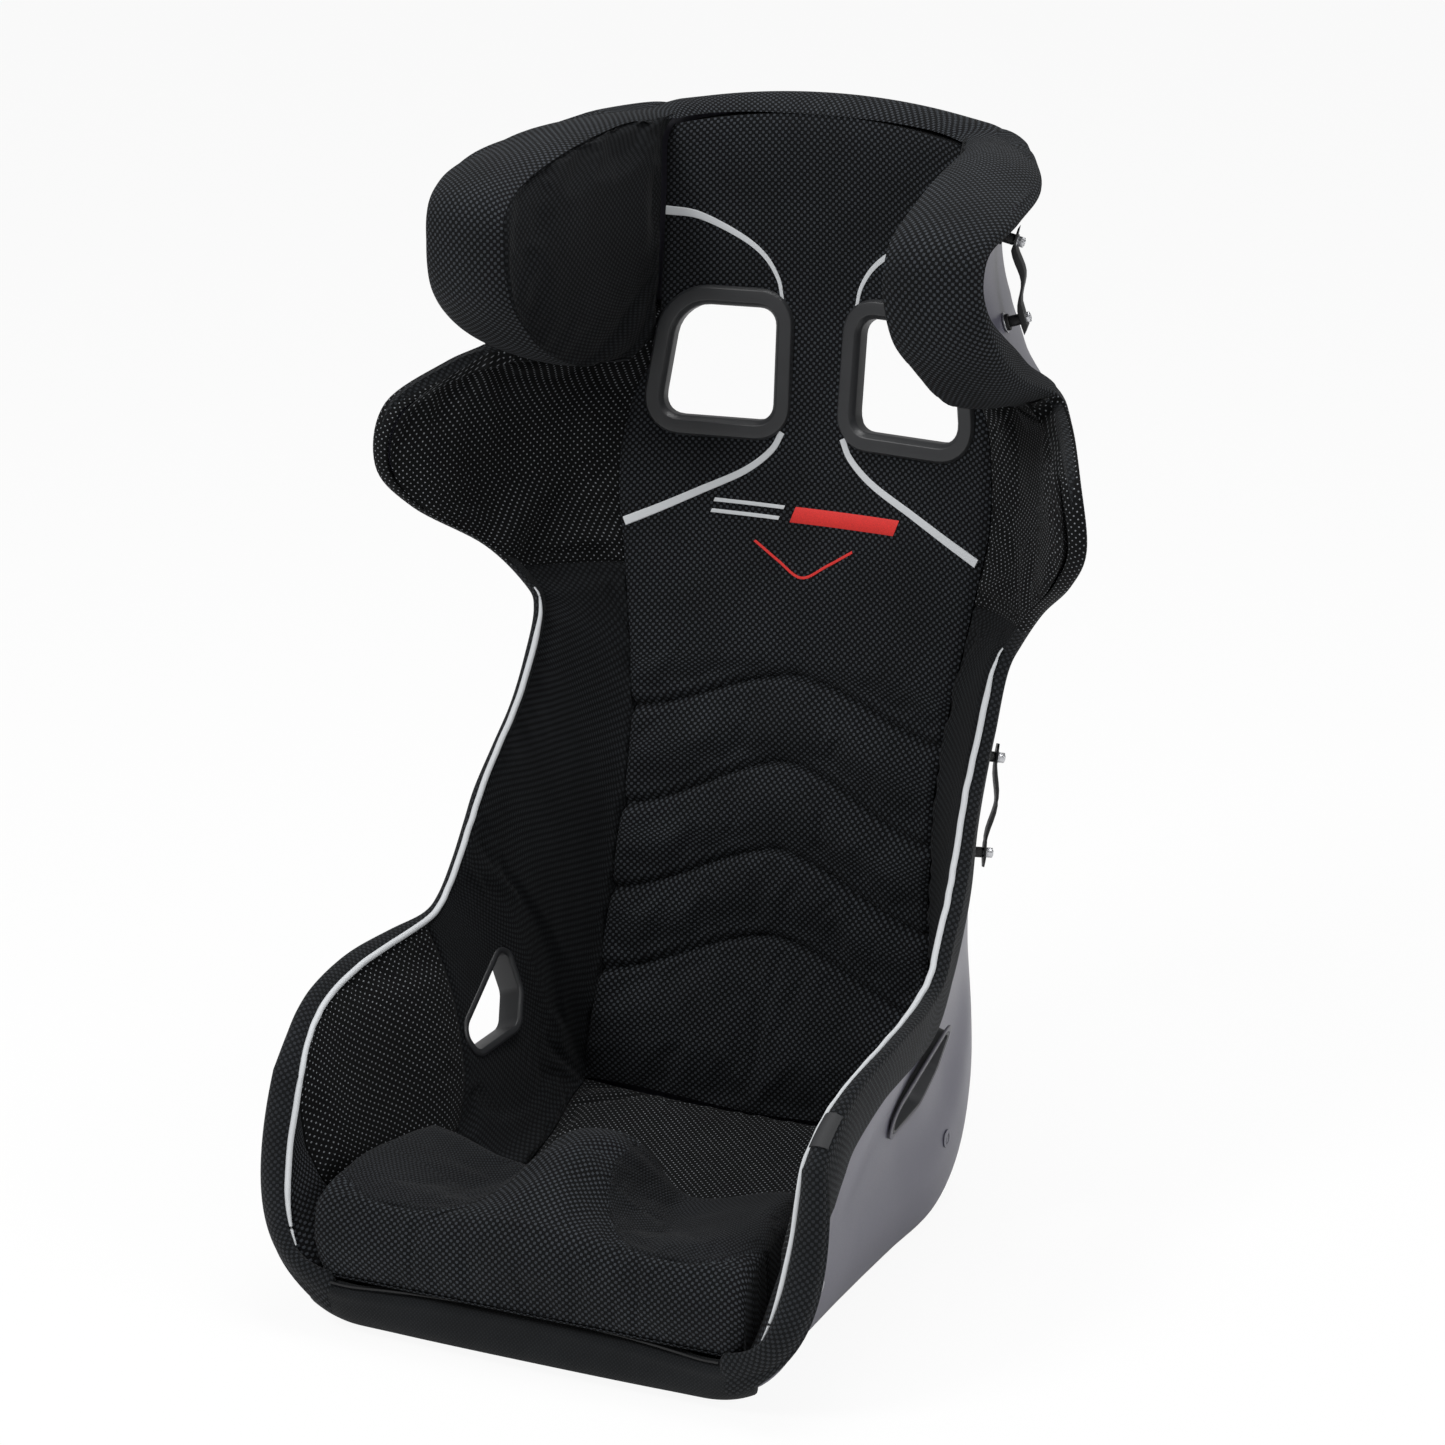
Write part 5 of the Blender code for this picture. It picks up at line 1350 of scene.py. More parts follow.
@dataclass
class LegCushion(Piece):
    """Removable leg support: a front wall, a centre hump and two thigh hollows."""

    front_y: float = -299.5
    brow_y: float = -284.0
    rear_y: float = -146.0
    base: float = 49.3
    brow: float = 112.0
    hump: float = 150.0
    hump_half: float = 44.0
    hollow: float = 91.0
    rounding: float = 13.0

    def half(self, y: Array) -> Array:
        """Half width at this depth."""
        return np.interp(y, (-300, -280, -249, -200, -146), (181, 183, 180, 172, 165))

    def top(self, x: Array, y: Array) -> Array:
        """Height of the top at a plan place."""
        along = np.clip((y - self.brow_y) / (self.rear_y - self.brow_y), 0, 1)
        side = np.abs(x) / self.half(y)
        bowl = eased(side, (0.0, 0.2, 0.4, 0.6, 0.8, 0.93, 1.0), (0.7, 0.95, 1.0, 0.8, 0.28, 0.05, 0.0))
        bowl = bowl * eased(along, (0.0, 0.12, 0.35, 0.7, 1.0), (0.0, 0.12, 0.6, 0.95, 0.85))
        shoulder = 11.0 * np.sin(math.pi * along**0.8) * side**2
        height = self.brow + 2.0 * side + shoulder - (self.brow - self.hollow) * bowl
        rise = eased(along, (0.0, 0.2, 0.45, 0.7, 0.85, 1.0), (0.15, 0.58, 0.94, 1.0, 0.9, 0.66))
        narrow = self.hump_half * np.interp(along, (0.0, 0.5, 1.0), (1.35, 1.15, 1.05))
        ridge = np.exp(-np.abs(x / narrow) ** 3.0)
        return height + (self.hump - height) * ridge * rise

    def seam_y(self, x: Array) -> Array:
        """Plan line of the seam between the front wall and the hollow."""
        return np.interp(
            np.abs(x),
            (26, 30, 38, 47, 57, 68, 80, 100, 135, 160, 175, 184),
            (-160, -205, -231, -247, -261, -274, -284, -289, -288, -278, -262, -248),
        )

    def make(self) -> None:
        """The cushion, its top sewn to its front wall along a groove."""
        turn = np.linspace(0, 1, 9)[1:] * math.pi / 2
        columns = np.concatenate([-turn[::-1], np.zeros(131), turn])
        inner = np.concatenate([-np.ones(8), np.linspace(-1, 1, 131), np.ones(8)])
        w = np.linspace(0, 1, 90)
        front = np.empty((len(w), len(columns), 3))
        for i, t in enumerate(w):
            wall = min(t / 0.36, 1.0)
            y_top = self.brow_y + (self.rear_y - self.rounding * 0.9 - self.brow_y) * max((t - 0.36) / 0.54, 0.0)
            rear = max((t - 0.9) / 0.1, 0.0) * math.pi / 2
            y_top = min(y_top, self.rear_y - self.rounding * 0.9)
            half = self.half(np.array(y_top)) - self.rounding
            x = inner * half + np.sin(columns) * self.rounding
            z = self.top(x, np.full_like(x, y_top))
            y = np.full_like(x, y_top)
            if wall < 1.0:
                f, g = wall, 1 - wall
                edge = g**3 * self.front_y + 3 * g * g * f * (self.front_y - 5)
                y = edge + 3 * g * f * f * (self.brow_y - 17) + f**3 * self.brow_y
                z = g**3 * (self.base - 2) + 3 * g * g * f * (self.base + 24) + 3 * g * f * f * (z - 1) + f**3 * z
                y = np.full_like(x, y)
                x = x * np.interp(f, (0, 0.35, 1), (0.975, 1.0, 1.0))
            elif rear > 0:
                y = y + math.sin(rear) * self.rounding
                z = z - (1 - math.cos(rear)) * self.rounding
            z = z - (1 - np.cos(columns)) * self.rounding * (wall if wall < 1 else 1.0)
            y = y + (1 - np.cos(columns)) * self.rounding * max(1 - wall, 0.0) * 0.6
            front[i] = np.stack([x, y, z], axis=-1)
        back = front.copy()
        back[..., 2] = np.minimum(self.base, front[..., 2] - 2.0)
        back[..., 2] = np.maximum(back[..., 2], self.base - 3.0)
        front[..., 2] = np.maximum(front[..., 2], back[..., 2] + 1.5)
        gap = front[..., 1] - self.seam_y(front[..., 0])
        outside = np.abs(front[..., 0]) > 26
        near = np.clip(1 - np.abs(gap) / 6.0, 0, 1) * outside
        front = front - face_out(front, back) * (3.4 * (1 - np.sqrt(1 - near**2)))[..., None]
        piece = panel("leg_support_cushion_cover", front, back, WAFFLE)
        inflate(piece, held_grid(front, np.clip(near * 1.5, 0, 1)), 2.0, 3.0, 0.015)
        piece.data.materials.append(HOLLOW_KNIT.material())
        quads = gap[:-1, :-1] + gap[1:, 1:]
        hollow = (quads > 0) & (np.abs(front[:-1, :-1, 0] + front[1:, 1:, 0]) / 2 > 26)
        for k in np.flatnonzero(hollow.ravel()):
            piece.data.polygons[int(k)].material_index = 1
        self.keep(piece, WAFFLE, ("leg_support_cushion",), 0.6, "leg_cushion")


@dataclass
class WallPads(Piece):
    """Pads along the thighs, ribs and shoulders."""

    thigh_start: float = 0.3
    thigh_end: tuple = (4.3, 4.4, 4.75, 5.2, 5.5, 5.75)
    side_end: float = 15.55
    shoulder_end: float = 21.6

    def grid(
        self, low: Array, high: Array, rows: int, columns: int, v: Place = (1.0, 2.0)
    ) -> tuple[Array, Array]:
        """Faces of a pad between two lines that run across.

        Args:
            low: stations where the pad starts, at even places across.
            high: stations where it ends.
            rows: rows of points.
            columns: columns of points.
            v: range across.

        Returns:
            Front and back points.
        """
        places = np.linspace(*v, columns)
        f = np.linspace(0, 1, rows)[:, None]
        start, end = (np.interp(places, np.linspace(*v, len(line)), line) for line in (low, high))
        s = start + (end - start) * f
        v_grid = np.broadcast_to(places, s.shape)
        tight = 1 + (v_grid - 1) * 0.95
        return BUCKET.pad(s, v_grid), BUCKET.shell(s, tight, -BUCKET.wall - BUCKET.gap)

    def make(self) -> dict:
        """All the pads of both sides.

        Returns:
            The side pad of each side.
        """
        side_pads = {}
        seam = np.array([3.9, 3.6, 3.2, 2.5, 1.6, 0.9, 0.55, 0.45])
        begin = np.full(8, self.thigh_start - 0.25)
        thigh, top = np.array(self.thigh_end), np.full(2, self.side_end)
        for side in Side:
            node = "thigh_pad_" + side.label
            front, back = self.grid(seam, thigh, 66, 56)
            piece = panel(node + "_cover", sewn(front, back, Seam(3.6, 7.0, 1.5)), back, GRIP, side)
            inflate(piece, held_grid(front))
            self.keep(piece, GRIP, (node,), 0.5)
            front, back = self.grid(begin, seam, 50, 56)
            name = f"thigh_front_{side.label}_cover"
            piece = panel(name, sewn(front, back, Seam(3.2, 7.0, 1.0)), back, WAFFLE, side)
            self.keep(piece, WAFFLE, (node,), 0.5)
            node = "side_pad_" + side.label
            front, back = self.grid(thigh, top, 120, 56)
            piece = panel(node + "_cover", sewn(front, back, Seam(3.6, 7.0, 1.5)), back, SMOOTH, side)
            slot = np.linalg.norm((front - (0, Slots.lap_y, Slots.lap_z))[..., 1:], axis=-1)
            inflate(piece, held_grid(front, np.clip((100 - slot) / 50, 0, 1)))
            side_pads[side] = self.keep(piece, SMOOTH, (node,), 0.5)
            node = "shoulder_pad_" + side.label
            front, back = self.grid(top, np.full(2, self.shoulder_end), 80, 60)
            piece = panel(node + "_cover", sewn(front, back, Seam(4.0, 9.0, 4.0, 26.0), "h"), back, GRIP, side)
            inflate(piece, held_grid(front), 4.0, 5.0, 0.03)
            self.keep(piece, GRIP, (node,), 0.7)
        return side_pads


# Rolls over the rim
@dataclass
class Rim:
    """Line along the shell's edge with its outward normal and the way out of the sheet."""

    places: Array
    ends: Array

    def __post_init__(self) -> None:
        """Works out the frames along the line."""
        s, v = self.places[:, 0], self.places[:, 1]
        self.point = BUCKET.shell(s, v)
        self.normal = blur(unit(BUCKET.normal(BUCKET.shell, s, v)), 2.0)
        near = self.places + (self.ends - self.places) * 0.3
        out = self.point - BUCKET.shell(near[:, 0], near[:, 1])
        self.normal = unit(self.normal)
        along = unit(np.gradient(self.point, axis=0))
        for way in (self.normal, along):
            out = out - way * (out * way).sum(axis=1, keepdims=True)
        self.out = unit(blur(unit(out), 3.0))

    def at(self, across: Array | float, above: Array | float) -> Array:
        """Points beside the rim, by distances along the normal and out of the sheet."""
        across = np.broadcast_to(np.asarray(across, float), (len(self.point),))[:, None]
        above = np.broadcast_to(np.asarray(above, float), (len(self.point),))[:, None]
        return self.point + self.normal * across + self.out * above

    def leg(self, fractions: Array, off: Array) -> Array:
        """Points over the shell's outer face, from the rim to the cover's hem.

        Args:
            fractions: how far towards the hem each point lies.
            off: how far each stands off the shell.

        Returns:
            Points as (place, fraction, 3).
        """
        spots = self.places[:, None, :] + (self.ends - self.places)[:, None, :] * fractions[None, :, None]
        s, v = spots[..., 0], spots[..., 1]
        return BUCKET.shell(s, v) + BUCKET.normal(BUCKET.shell, s, v) * off[..., None]

    def padded_edge(self) -> tuple[Array, Array]:
        """How far inwards and out of the sheet the padded face's edge lies from the rim."""
        s, v = self.places[:, 0], self.places[:, 1]
        reach = BUCKET.pad(s, np.where(s > 0, 2.0, v)) - self.point
        width = np.maximum(-(reach * self.normal).sum(axis=1), 9.0)
        return blur(width, 2.0), blur((reach * self.out).sum(axis=1), 2.0)


def roll(rim: Rim, inner: Array, lift: tuple[Array, Array], off: Array | float, hem: float) -> Array:
    """Closed sections of a foam roll folded over a rim.

    Args:
        rim: the line it follows.
        inner: where it is sewn to the padded face.
        lift: how high the roll stands at its inner and outer shoulders, as vectors.
        off: how far it stands off the shell outside.
        hem: thickness of the hem.

    Returns:
        Sections as (place, point, 3), from the inner seam over the rim to the hem and back inside.
    """
    outer = rim.at(off, 0.0)
    dome = bezier(inner, inner + lift[0], outer + lift[1], outer, 18)
    fractions = np.linspace(0, 1, 13)[1:]
    off = np.broadcast_to(np.asarray(off, float), (len(inner),))[:, None]
    swell = off + 1.2 * np.sin(math.pi * fractions) - (off - hem) * np.clip((fractions - 0.82) / 0.18, 0, 1) ** 2
    leg = rim.leg(fractions, swell)
    inside = rim.leg(np.array([1.0, 0.5, 0.05]), np.full((1, 3), 0.9))
    under = np.stack([rim.at(0.9, 1.2), rim.at(-5.2, 1.2)], axis=1)
    tuck = (inner + rim.at(-5.2, 0.0)) / 2 - rim.out * 4.0
    return np.concatenate([dome, leg, inside, under, tuck[:, None, :]], axis=1)


@dataclass
class EdgeRolls(Piece):
    """Foam-filled covers over the bolsters' rims, with the reflective cord in their seam."""

    front_from: float = 1.12
    shoulder_end: float = 21.25
    cover: float = 4.6
    crown_at: tuple = (3.0, 4.5, 6.0, 7.5, 15.0, 16.5, 21.0)
    crown_near: tuple = (13.0, 9.0, 4.0, 2.0, 2.0, 5.0, 5.0)
    crown_far: tuple = (12.0, 10.0, 8.0, 6.5, 6.5, 5.0, 5.0)
    hem_at: tuple = (0.0, 2.0, 3.0, 4.0, 5.0, 6.3, 8.0, 9.0, 10.0, 12.0, 14.0, 15.0, 16.5)
    hem: tuple = (1.85, 1.85, 1.865, 1.9, 1.885, 1.85, 1.86, 1.895, 1.89, 1.84, 1.77, 1.8, 1.88)
    label_rows: Place = (40, 50)
    cord_radius: float = 2.5
    cord_start: float = 1.36
    cord_end: float = 14.9

    def rim(self) -> Rim:
        """The front edge from the pan's corner, then the rim to the shoulder."""
        v = np.linspace(self.front_from, 2.0, 30)
        rise = np.clip((v - 1.85) / 0.15, 0, 1)
        front = np.stack([np.zeros_like(v), v], axis=1)
        hem_s = np.interp(v, (self.front_from, 1.4), (1.0, 0.35))
        front_ends = np.stack([hem_s, np.minimum(v, 1.84) - 0.02 + 0.03 * rise], axis=1)
        s = np.linspace(0, self.shoulder_end, 190)[1:]
        along = np.stack([s, blur(BUCKET.rim_at(s), 3.0)], axis=1)
        reach = np.maximum(s, 0.35 + 0.85 * s)
        along_ends = np.stack([reach, np.interp(s, self.hem_at, self.hem)], axis=1)
        places = np.concatenate([front, along])
        ends = blur(np.concatenate([front_ends, along_ends]), 2.0)
        return Rim(places, ends)

    def label(self, patch: Array) -> None:
        """Bare woven tab sewn over the right roll beside the cord.

        Args:
            patch: points of the roll under the tab.
        """
        n = face_out(patch, np.broadcast_to(patch.mean(axis=(0, 1)), patch.shape))
        front, back = patch + n * 1.3, patch + n * 0.3
        self.keep(panel("side_label", front, back, LABEL_CLOTH), LABEL_CLOTH)

    def make(self) -> None:
        """Both rolls and their cords."""
        rim = self.rim()
        width, lip = rim.padded_edge()
        inner = rim.at(-width, lip)
        s = rim.places[:, 0]
        crowns = self.crown_near, self.crown_far
        near, far = (blur(np.interp(s, self.crown_at, crown), 4.0)[:, None] for crown in crowns)
        off = blur(np.interp(s, (3.0, 6.0, 15.0, 17.0), (self.cover, 3.0, 3.0, 4.2)), 4.0)
        spread = unit(inner - BUCKET.pad(s, 1.96))
        round_off = np.clip((s - 15.4) / 0.8, 0, 1)[:, None]
        first_lift = (rim.out * near + rim.normal * 2.0) * (1 - round_off) + spread * 7.0 * round_off
        lift = blur(first_lift, 2.0), rim.out * far
        sections = closing(roll(rim, inner, lift, off, 2.4), True, False)
        path_step = np.arange(len(rim.places))
        first = int(np.argmax((rim.places[:, 1] > self.cord_start) | (rim.places[:, 0] > 0)))
        last = int(np.argmax(rim.places[:, 0] > self.cord_end))
        cord = (inner + rim.out * 1.2 - rim.normal * 0.6)[first:last]
        wave = 0.25 * np.sin(path_step[first:last] * 0.9) + 0.18 * np.sin(path_step[first:last] * 0.37)
        cord = blur(cord, 1.5) + rim.normal[first:last] * wave[:, None]
        cord = spline([tuple(p) for p in cord[::3]], 260)
        taper = np.minimum(np.linspace(0.25, 12, 260), np.linspace(12, 0.25, 260)).clip(0.25, 1)
        turn = len(sections) - int((s > 15.55).sum())
        self.label(sections[self.label_rows[0] : self.label_rows[1], 3:15])
        for side in Side:
            piece = swept(f"edge_roll_{side.label}", sections, EDGE_KNIT, side)
            piece.data.materials.append(GRIP.material())
            wide = sections.shape[1]
            for face in list(piece.data.polygons)[(turn - 1) * wide : -2]:
                if face.index % wide < 17:
                    face.material_index = 1
            self.keep(piece, EDGE_KNIT, (f"edge_trim_{side.label}",), 0.6)
            piece = swept(f"cord_{side.label}", tube(cord, self.cord_radius * taper), CORD, side)
            self.keep(piece, CORD, (f"piping_{side.label}",))


@dataclass
class HeadWings(Piece):
    """Thick head restraints: a smooth inner panel and a broad roll that runs on into the top band."""

    half: float = 160.0
    level: float = 778.0
    fold_at: tuple = (21.5, 22.4, 23.0, 23.5, 24.2, 25.4, 26.2, 27.5)
    fold: tuple = (0.16, 0.13, 0.07, 0.02, 0.006, 0.012, 0.05, 0.12)
    band_v: tuple = (2.0, 1.75, 1.5, 1.25, 1.0, 0.8, 0.55, 0.3, 0.12, 0.0)
    band_seam: tuple = (
        *((138, 224, 849), (133, 236, 848), (127, 243, 847.5), (120, 248, 848), (109, 251, 850.5)),
        *((92, 253.5, 853), (62, 256.5, 855.5), (32, 258, 856.3), (13, 258.5, 856.5), (0.3, 258.6, 856.5)),
    )

    def corners(self) -> tuple[Array, Array]:
        """Stations and points of the seam between the inner panel and the roll."""
        w, z = self.half, self.level
        rows = (
            (21.1, w - 12, 204, z - 124),
            (21.3, w - 6, 190, z - 122),
            (21.7, w + 2, 142, z - 116),
            (22.2, w + 8, 92, z - 94),
            (22.7, w + 6, 52, z - 64),
            (23.3, w + 2, 24, z - 36),
            (24.1, w, 12, z + 4),
            (25.0, w + 1, 19, z + 36),
            (25.8, w + 1, 58, z + 54),
            (26.7, w - 5, 128, z + 67),
            (27.6, w - 12, 196, z + 72),
            (28.0, w - 22, 224, z + 71),
        )
        table = np.array(rows)
        k = np.linspace(0, len(rows) - 1, 110)
        fine = hermite(table, k)
        return fine[:, 0], fine[:, 1:]

    def inner(self, side: Side) -> None:
        """Inner panel from the back cushion's seam to the roll."""
        stations, corner = self.corners()
        start = BUCKET.pad(np.minimum(stations, 28.0), np.full_like(stations, 1.0)) + (1.9, 0, 0)
        f = np.linspace(0, 1, 44)[None, :, None]
        front = start[:, None, :] + (corner - start)[:, None, :] * f
        back = front + np.array([9.0, 5.0, 0.0]) * np.clip(f * 3, 0.3, 1)
        piece = panel(f"wing_inner_{side.label}", sewn(front, back, Seam(3.2, 8.0, 2.0)), back, SMOOTH, side)
        inflate(piece, held_grid(front))
        self.keep(piece, SMOOTH, (f"head_wing_pad_{side.label}",), 0.7)

    def roll(self, side: Side) -> None:
        """Roll over the wing's rim, then over the head to the centre seam."""
        stations, corner = self.corners()
        wing = np.stack([stations, np.full_like(stations, 2.0)], axis=1)
        v = np.array(self.band_v)
        k = np.linspace(0, len(v) - 1, 80)[1:]
        table = np.concatenate([v[:, None], np.array(self.band_seam)], axis=1)
        fine = hermite(table, k)
        top = np.stack([np.full(len(fine), 28.0), np.maximum(fine[:, 0], 0.0)], axis=1)
        places = blur(np.concatenate([wing, top]), 2.5)
        places[:, 1] = np.clip(places[:, 1], 0.0, 2.0)
        places[:, 0] = np.clip(places[:, 0], 0.0, 28.0)
        ends = places.copy()
        hem = np.clip((places[:, 0] - 27.0) / 1.0, 0, 1)
        fold = np.interp(places[:, 0], self.fold_at, self.fold)
        ends[:, 1] = np.where(places[:, 0] < 27.9, 2.0 - fold, places[:, 1] * 0.985)
        ends[:, 0] = places[:, 0] - 0.75 * hem
        rim = Rim(places, blur(ends, 2.5))
        inner = blur(np.concatenate([corner, fine[:, 1:]]), 1.5)
        step = rim.at(4.0, 0.0) - inner
        span = np.linalg.norm(step, axis=1, keepdims=True)
        along = unit(np.gradient((inner + rim.point) / 2, axis=0))
        face = unit(np.cross(along, step))
        face = np.where((face * rim.out).sum(axis=1, keepdims=True) < 0, -face, face)
        swell = np.clip(span * 0.2, 6.0, 15.0)
        slim = np.clip(1 - np.abs(rim.places[:, :1] - 24.2) / 1.6, 0, 1) * (rim.places[:, 1:] > 1.9)
        lift = step * 0.28 + face * swell, rim.out * (np.clip(span * 0.22, 8.0, 17.0) * (1 - 0.5 * slim))
        sections = roll(rim, inner, lift, 4.5 - 1.8 * slim[:, 0], 2.2)
        sections = closing(sections, True, False)
        nodes = (f"wing_trim_{side.label}", "top_trim")
        piece = swept(f"head_roll_{side.label}", sections, WAFFLE, side)
        self.keep(piece, WAFFLE, nodes, 0.7)

    def make(self) -> None:
        """Both wings and the band."""
        for side in Side:
            self.inner(side)
            self.roll(side)


@dataclass
class FrontBand(Piece):
    """Cover over the pan's front lip, with a thin cord along its upper seam."""

    span: float = 1.2
    cover: float = 4.2

    def make(self) -> None:
        """The band and its cord."""
        v = np.linspace(-self.span, self.span, 150)
        places = np.stack([np.zeros_like(v), v], axis=1)
        ends = np.stack([np.full_like(v, 1.3), v], axis=1)
        rim = Rim(places, ends)
        width = np.interp(np.abs(v), (0.8, 0.97), (14.0, 8.6))
        drop = np.interp(np.abs(v), (0.8, 0.97), (-1.0, 1.0))
        inner = rim.at(-width, drop + 5.0)
        lift = rim.out * 5.0 + rim.normal * 1.0, rim.out * 11.0
        sections = closing(roll(rim, inner, lift, self.cover, 2.5), True, True)
        piece = swept("front_band", sections, FELT)
        self.keep(piece, FELT, ("front_trim",), 0.4)
        cord = blur(rim.at(-0.5, 11.5), 2.0)[6:-6]
        piece = swept("front_band_cord", tube(spline([tuple(p) for p in cord[::4]], 160), 0.9, 8), DARK_THREAD)
        self.keep(piece, DARK_THREAD)


@dataclass
class Stripes(Piece):
    """Reflective tapes sewn on the back cushion."""

    width: float = 7.5
    section: tuple = ((-0.5, 0.5), (-0.42, 1.15), (0.0, 1.3), (0.42, 1.15), (0.5, 0.5), (0.42, 0.1), (-0.42, 0.1))
    upper: tuple = ((133, 772), (105, 769), (70, 754), (49, 739), (37, 721), (33, 704))
    lower: tuple = ((27, 597), (36, 581), (58, 563), (96, 544), (129, 528), (158, 515))
    bars: tuple = (
        ("plain_bar_white_upper", ((-82, 538), (-20, 537)), 3.4, CORD),
        ("plain_bar_white_lower", ((-84, 529), (-24, 528)), 3.4, CORD),
        ("plain_bar_red", ((-12, 532), (34, 532), (82, 532)), 14.0, RED_TAPE),
        ("plain_line_red", ((-44, 508), (-22, 494), (0, 482), (22, 494), (44, 508)), 2.4, RED_TAPE),
    )

    def tape(self, back: BackCushion, path: Array, widths: Array, skew: float = 0.0) -> Array:
        """Sections of a flat tape laid on the back cushion.

        Args:
            back: the cushion it lies on.
            path: x and z of the points along it.
            widths: width at each point.
            skew: how far its edges run ahead of each other, as a share of its width.

        Returns:
            Points as (place, point, 3).
        """
        ahead = unit(np.gradient(path, axis=0))
        side_way = np.stack([-ahead[:, 1], ahead[:, 0]], axis=1) + ahead * skew
        rows = []
        for lateral, proud in self.section:
            spots = path + side_way * (widths * lateral)[:, None]
            rows.append([back.at(x, z, proud) for x, z in spots])
        return np.array(rows).transpose(1, 0, 2)

    def make(self, back: BackCushion) -> None:
        """Four tapes, the upper ones narrowing towards their lower ends, and the plain bars below them.

        Args:
            back: the cushion they lie on.
        """
        for kind, line in (("upper", self.upper), ("lower", self.lower)):
            taper = np.linspace(1.0, 0.42, 48) if kind == "upper" else np.linspace(0.75, 1.0, 48)
            sections = self.tape(back, spline(list(line), 48), self.width * taper)
            for side in Side:
                self.keep(swept(f"reflective_tape_{kind}_{side.label}", sections, CORD, side, 40.0), CORD)
        for name, line, width, finish in self.bars:
            path = spline(list(line), 24)
            self.keep(swept(name, self.tape(back, path, np.full(24, width), 0.35), finish, smooth=40.0), finish)


# Hardware
def drilled(
    name: str, sides: int, radius: float, thick: float, bore: float, finish: Finish, bevel: float = 0.35
) -> bpy.types.Object:
    """Ring turned or pressed from bar: a cylinder, bored through by bridging its two ends."""
    bpy.ops.object.select_all(action="DESELECT")
    middle = (0, 0, thick * MM / 2)
    bpy.ops.mesh.primitive_cylinder_add(vertices=sides, radius=radius * MM, depth=thick * MM, location=middle)
    part = bpy.context.active_object
    bpy.ops.object.transform_apply(location=True, rotation=True, scale=True)
    bpy.ops.object.mode_set(mode="EDIT")
    bpy.ops.mesh.select_mode(type="FACE")
    choose(part.data, lambda c, n: abs(n.z) > 0.9)
    inset((radius - bore) * (math.cos(math.pi / sides)))
    bpy.ops.mesh.bridge_edge_loops()
    return settle(part, name, Matrix.Identity(4), finish, bevel)


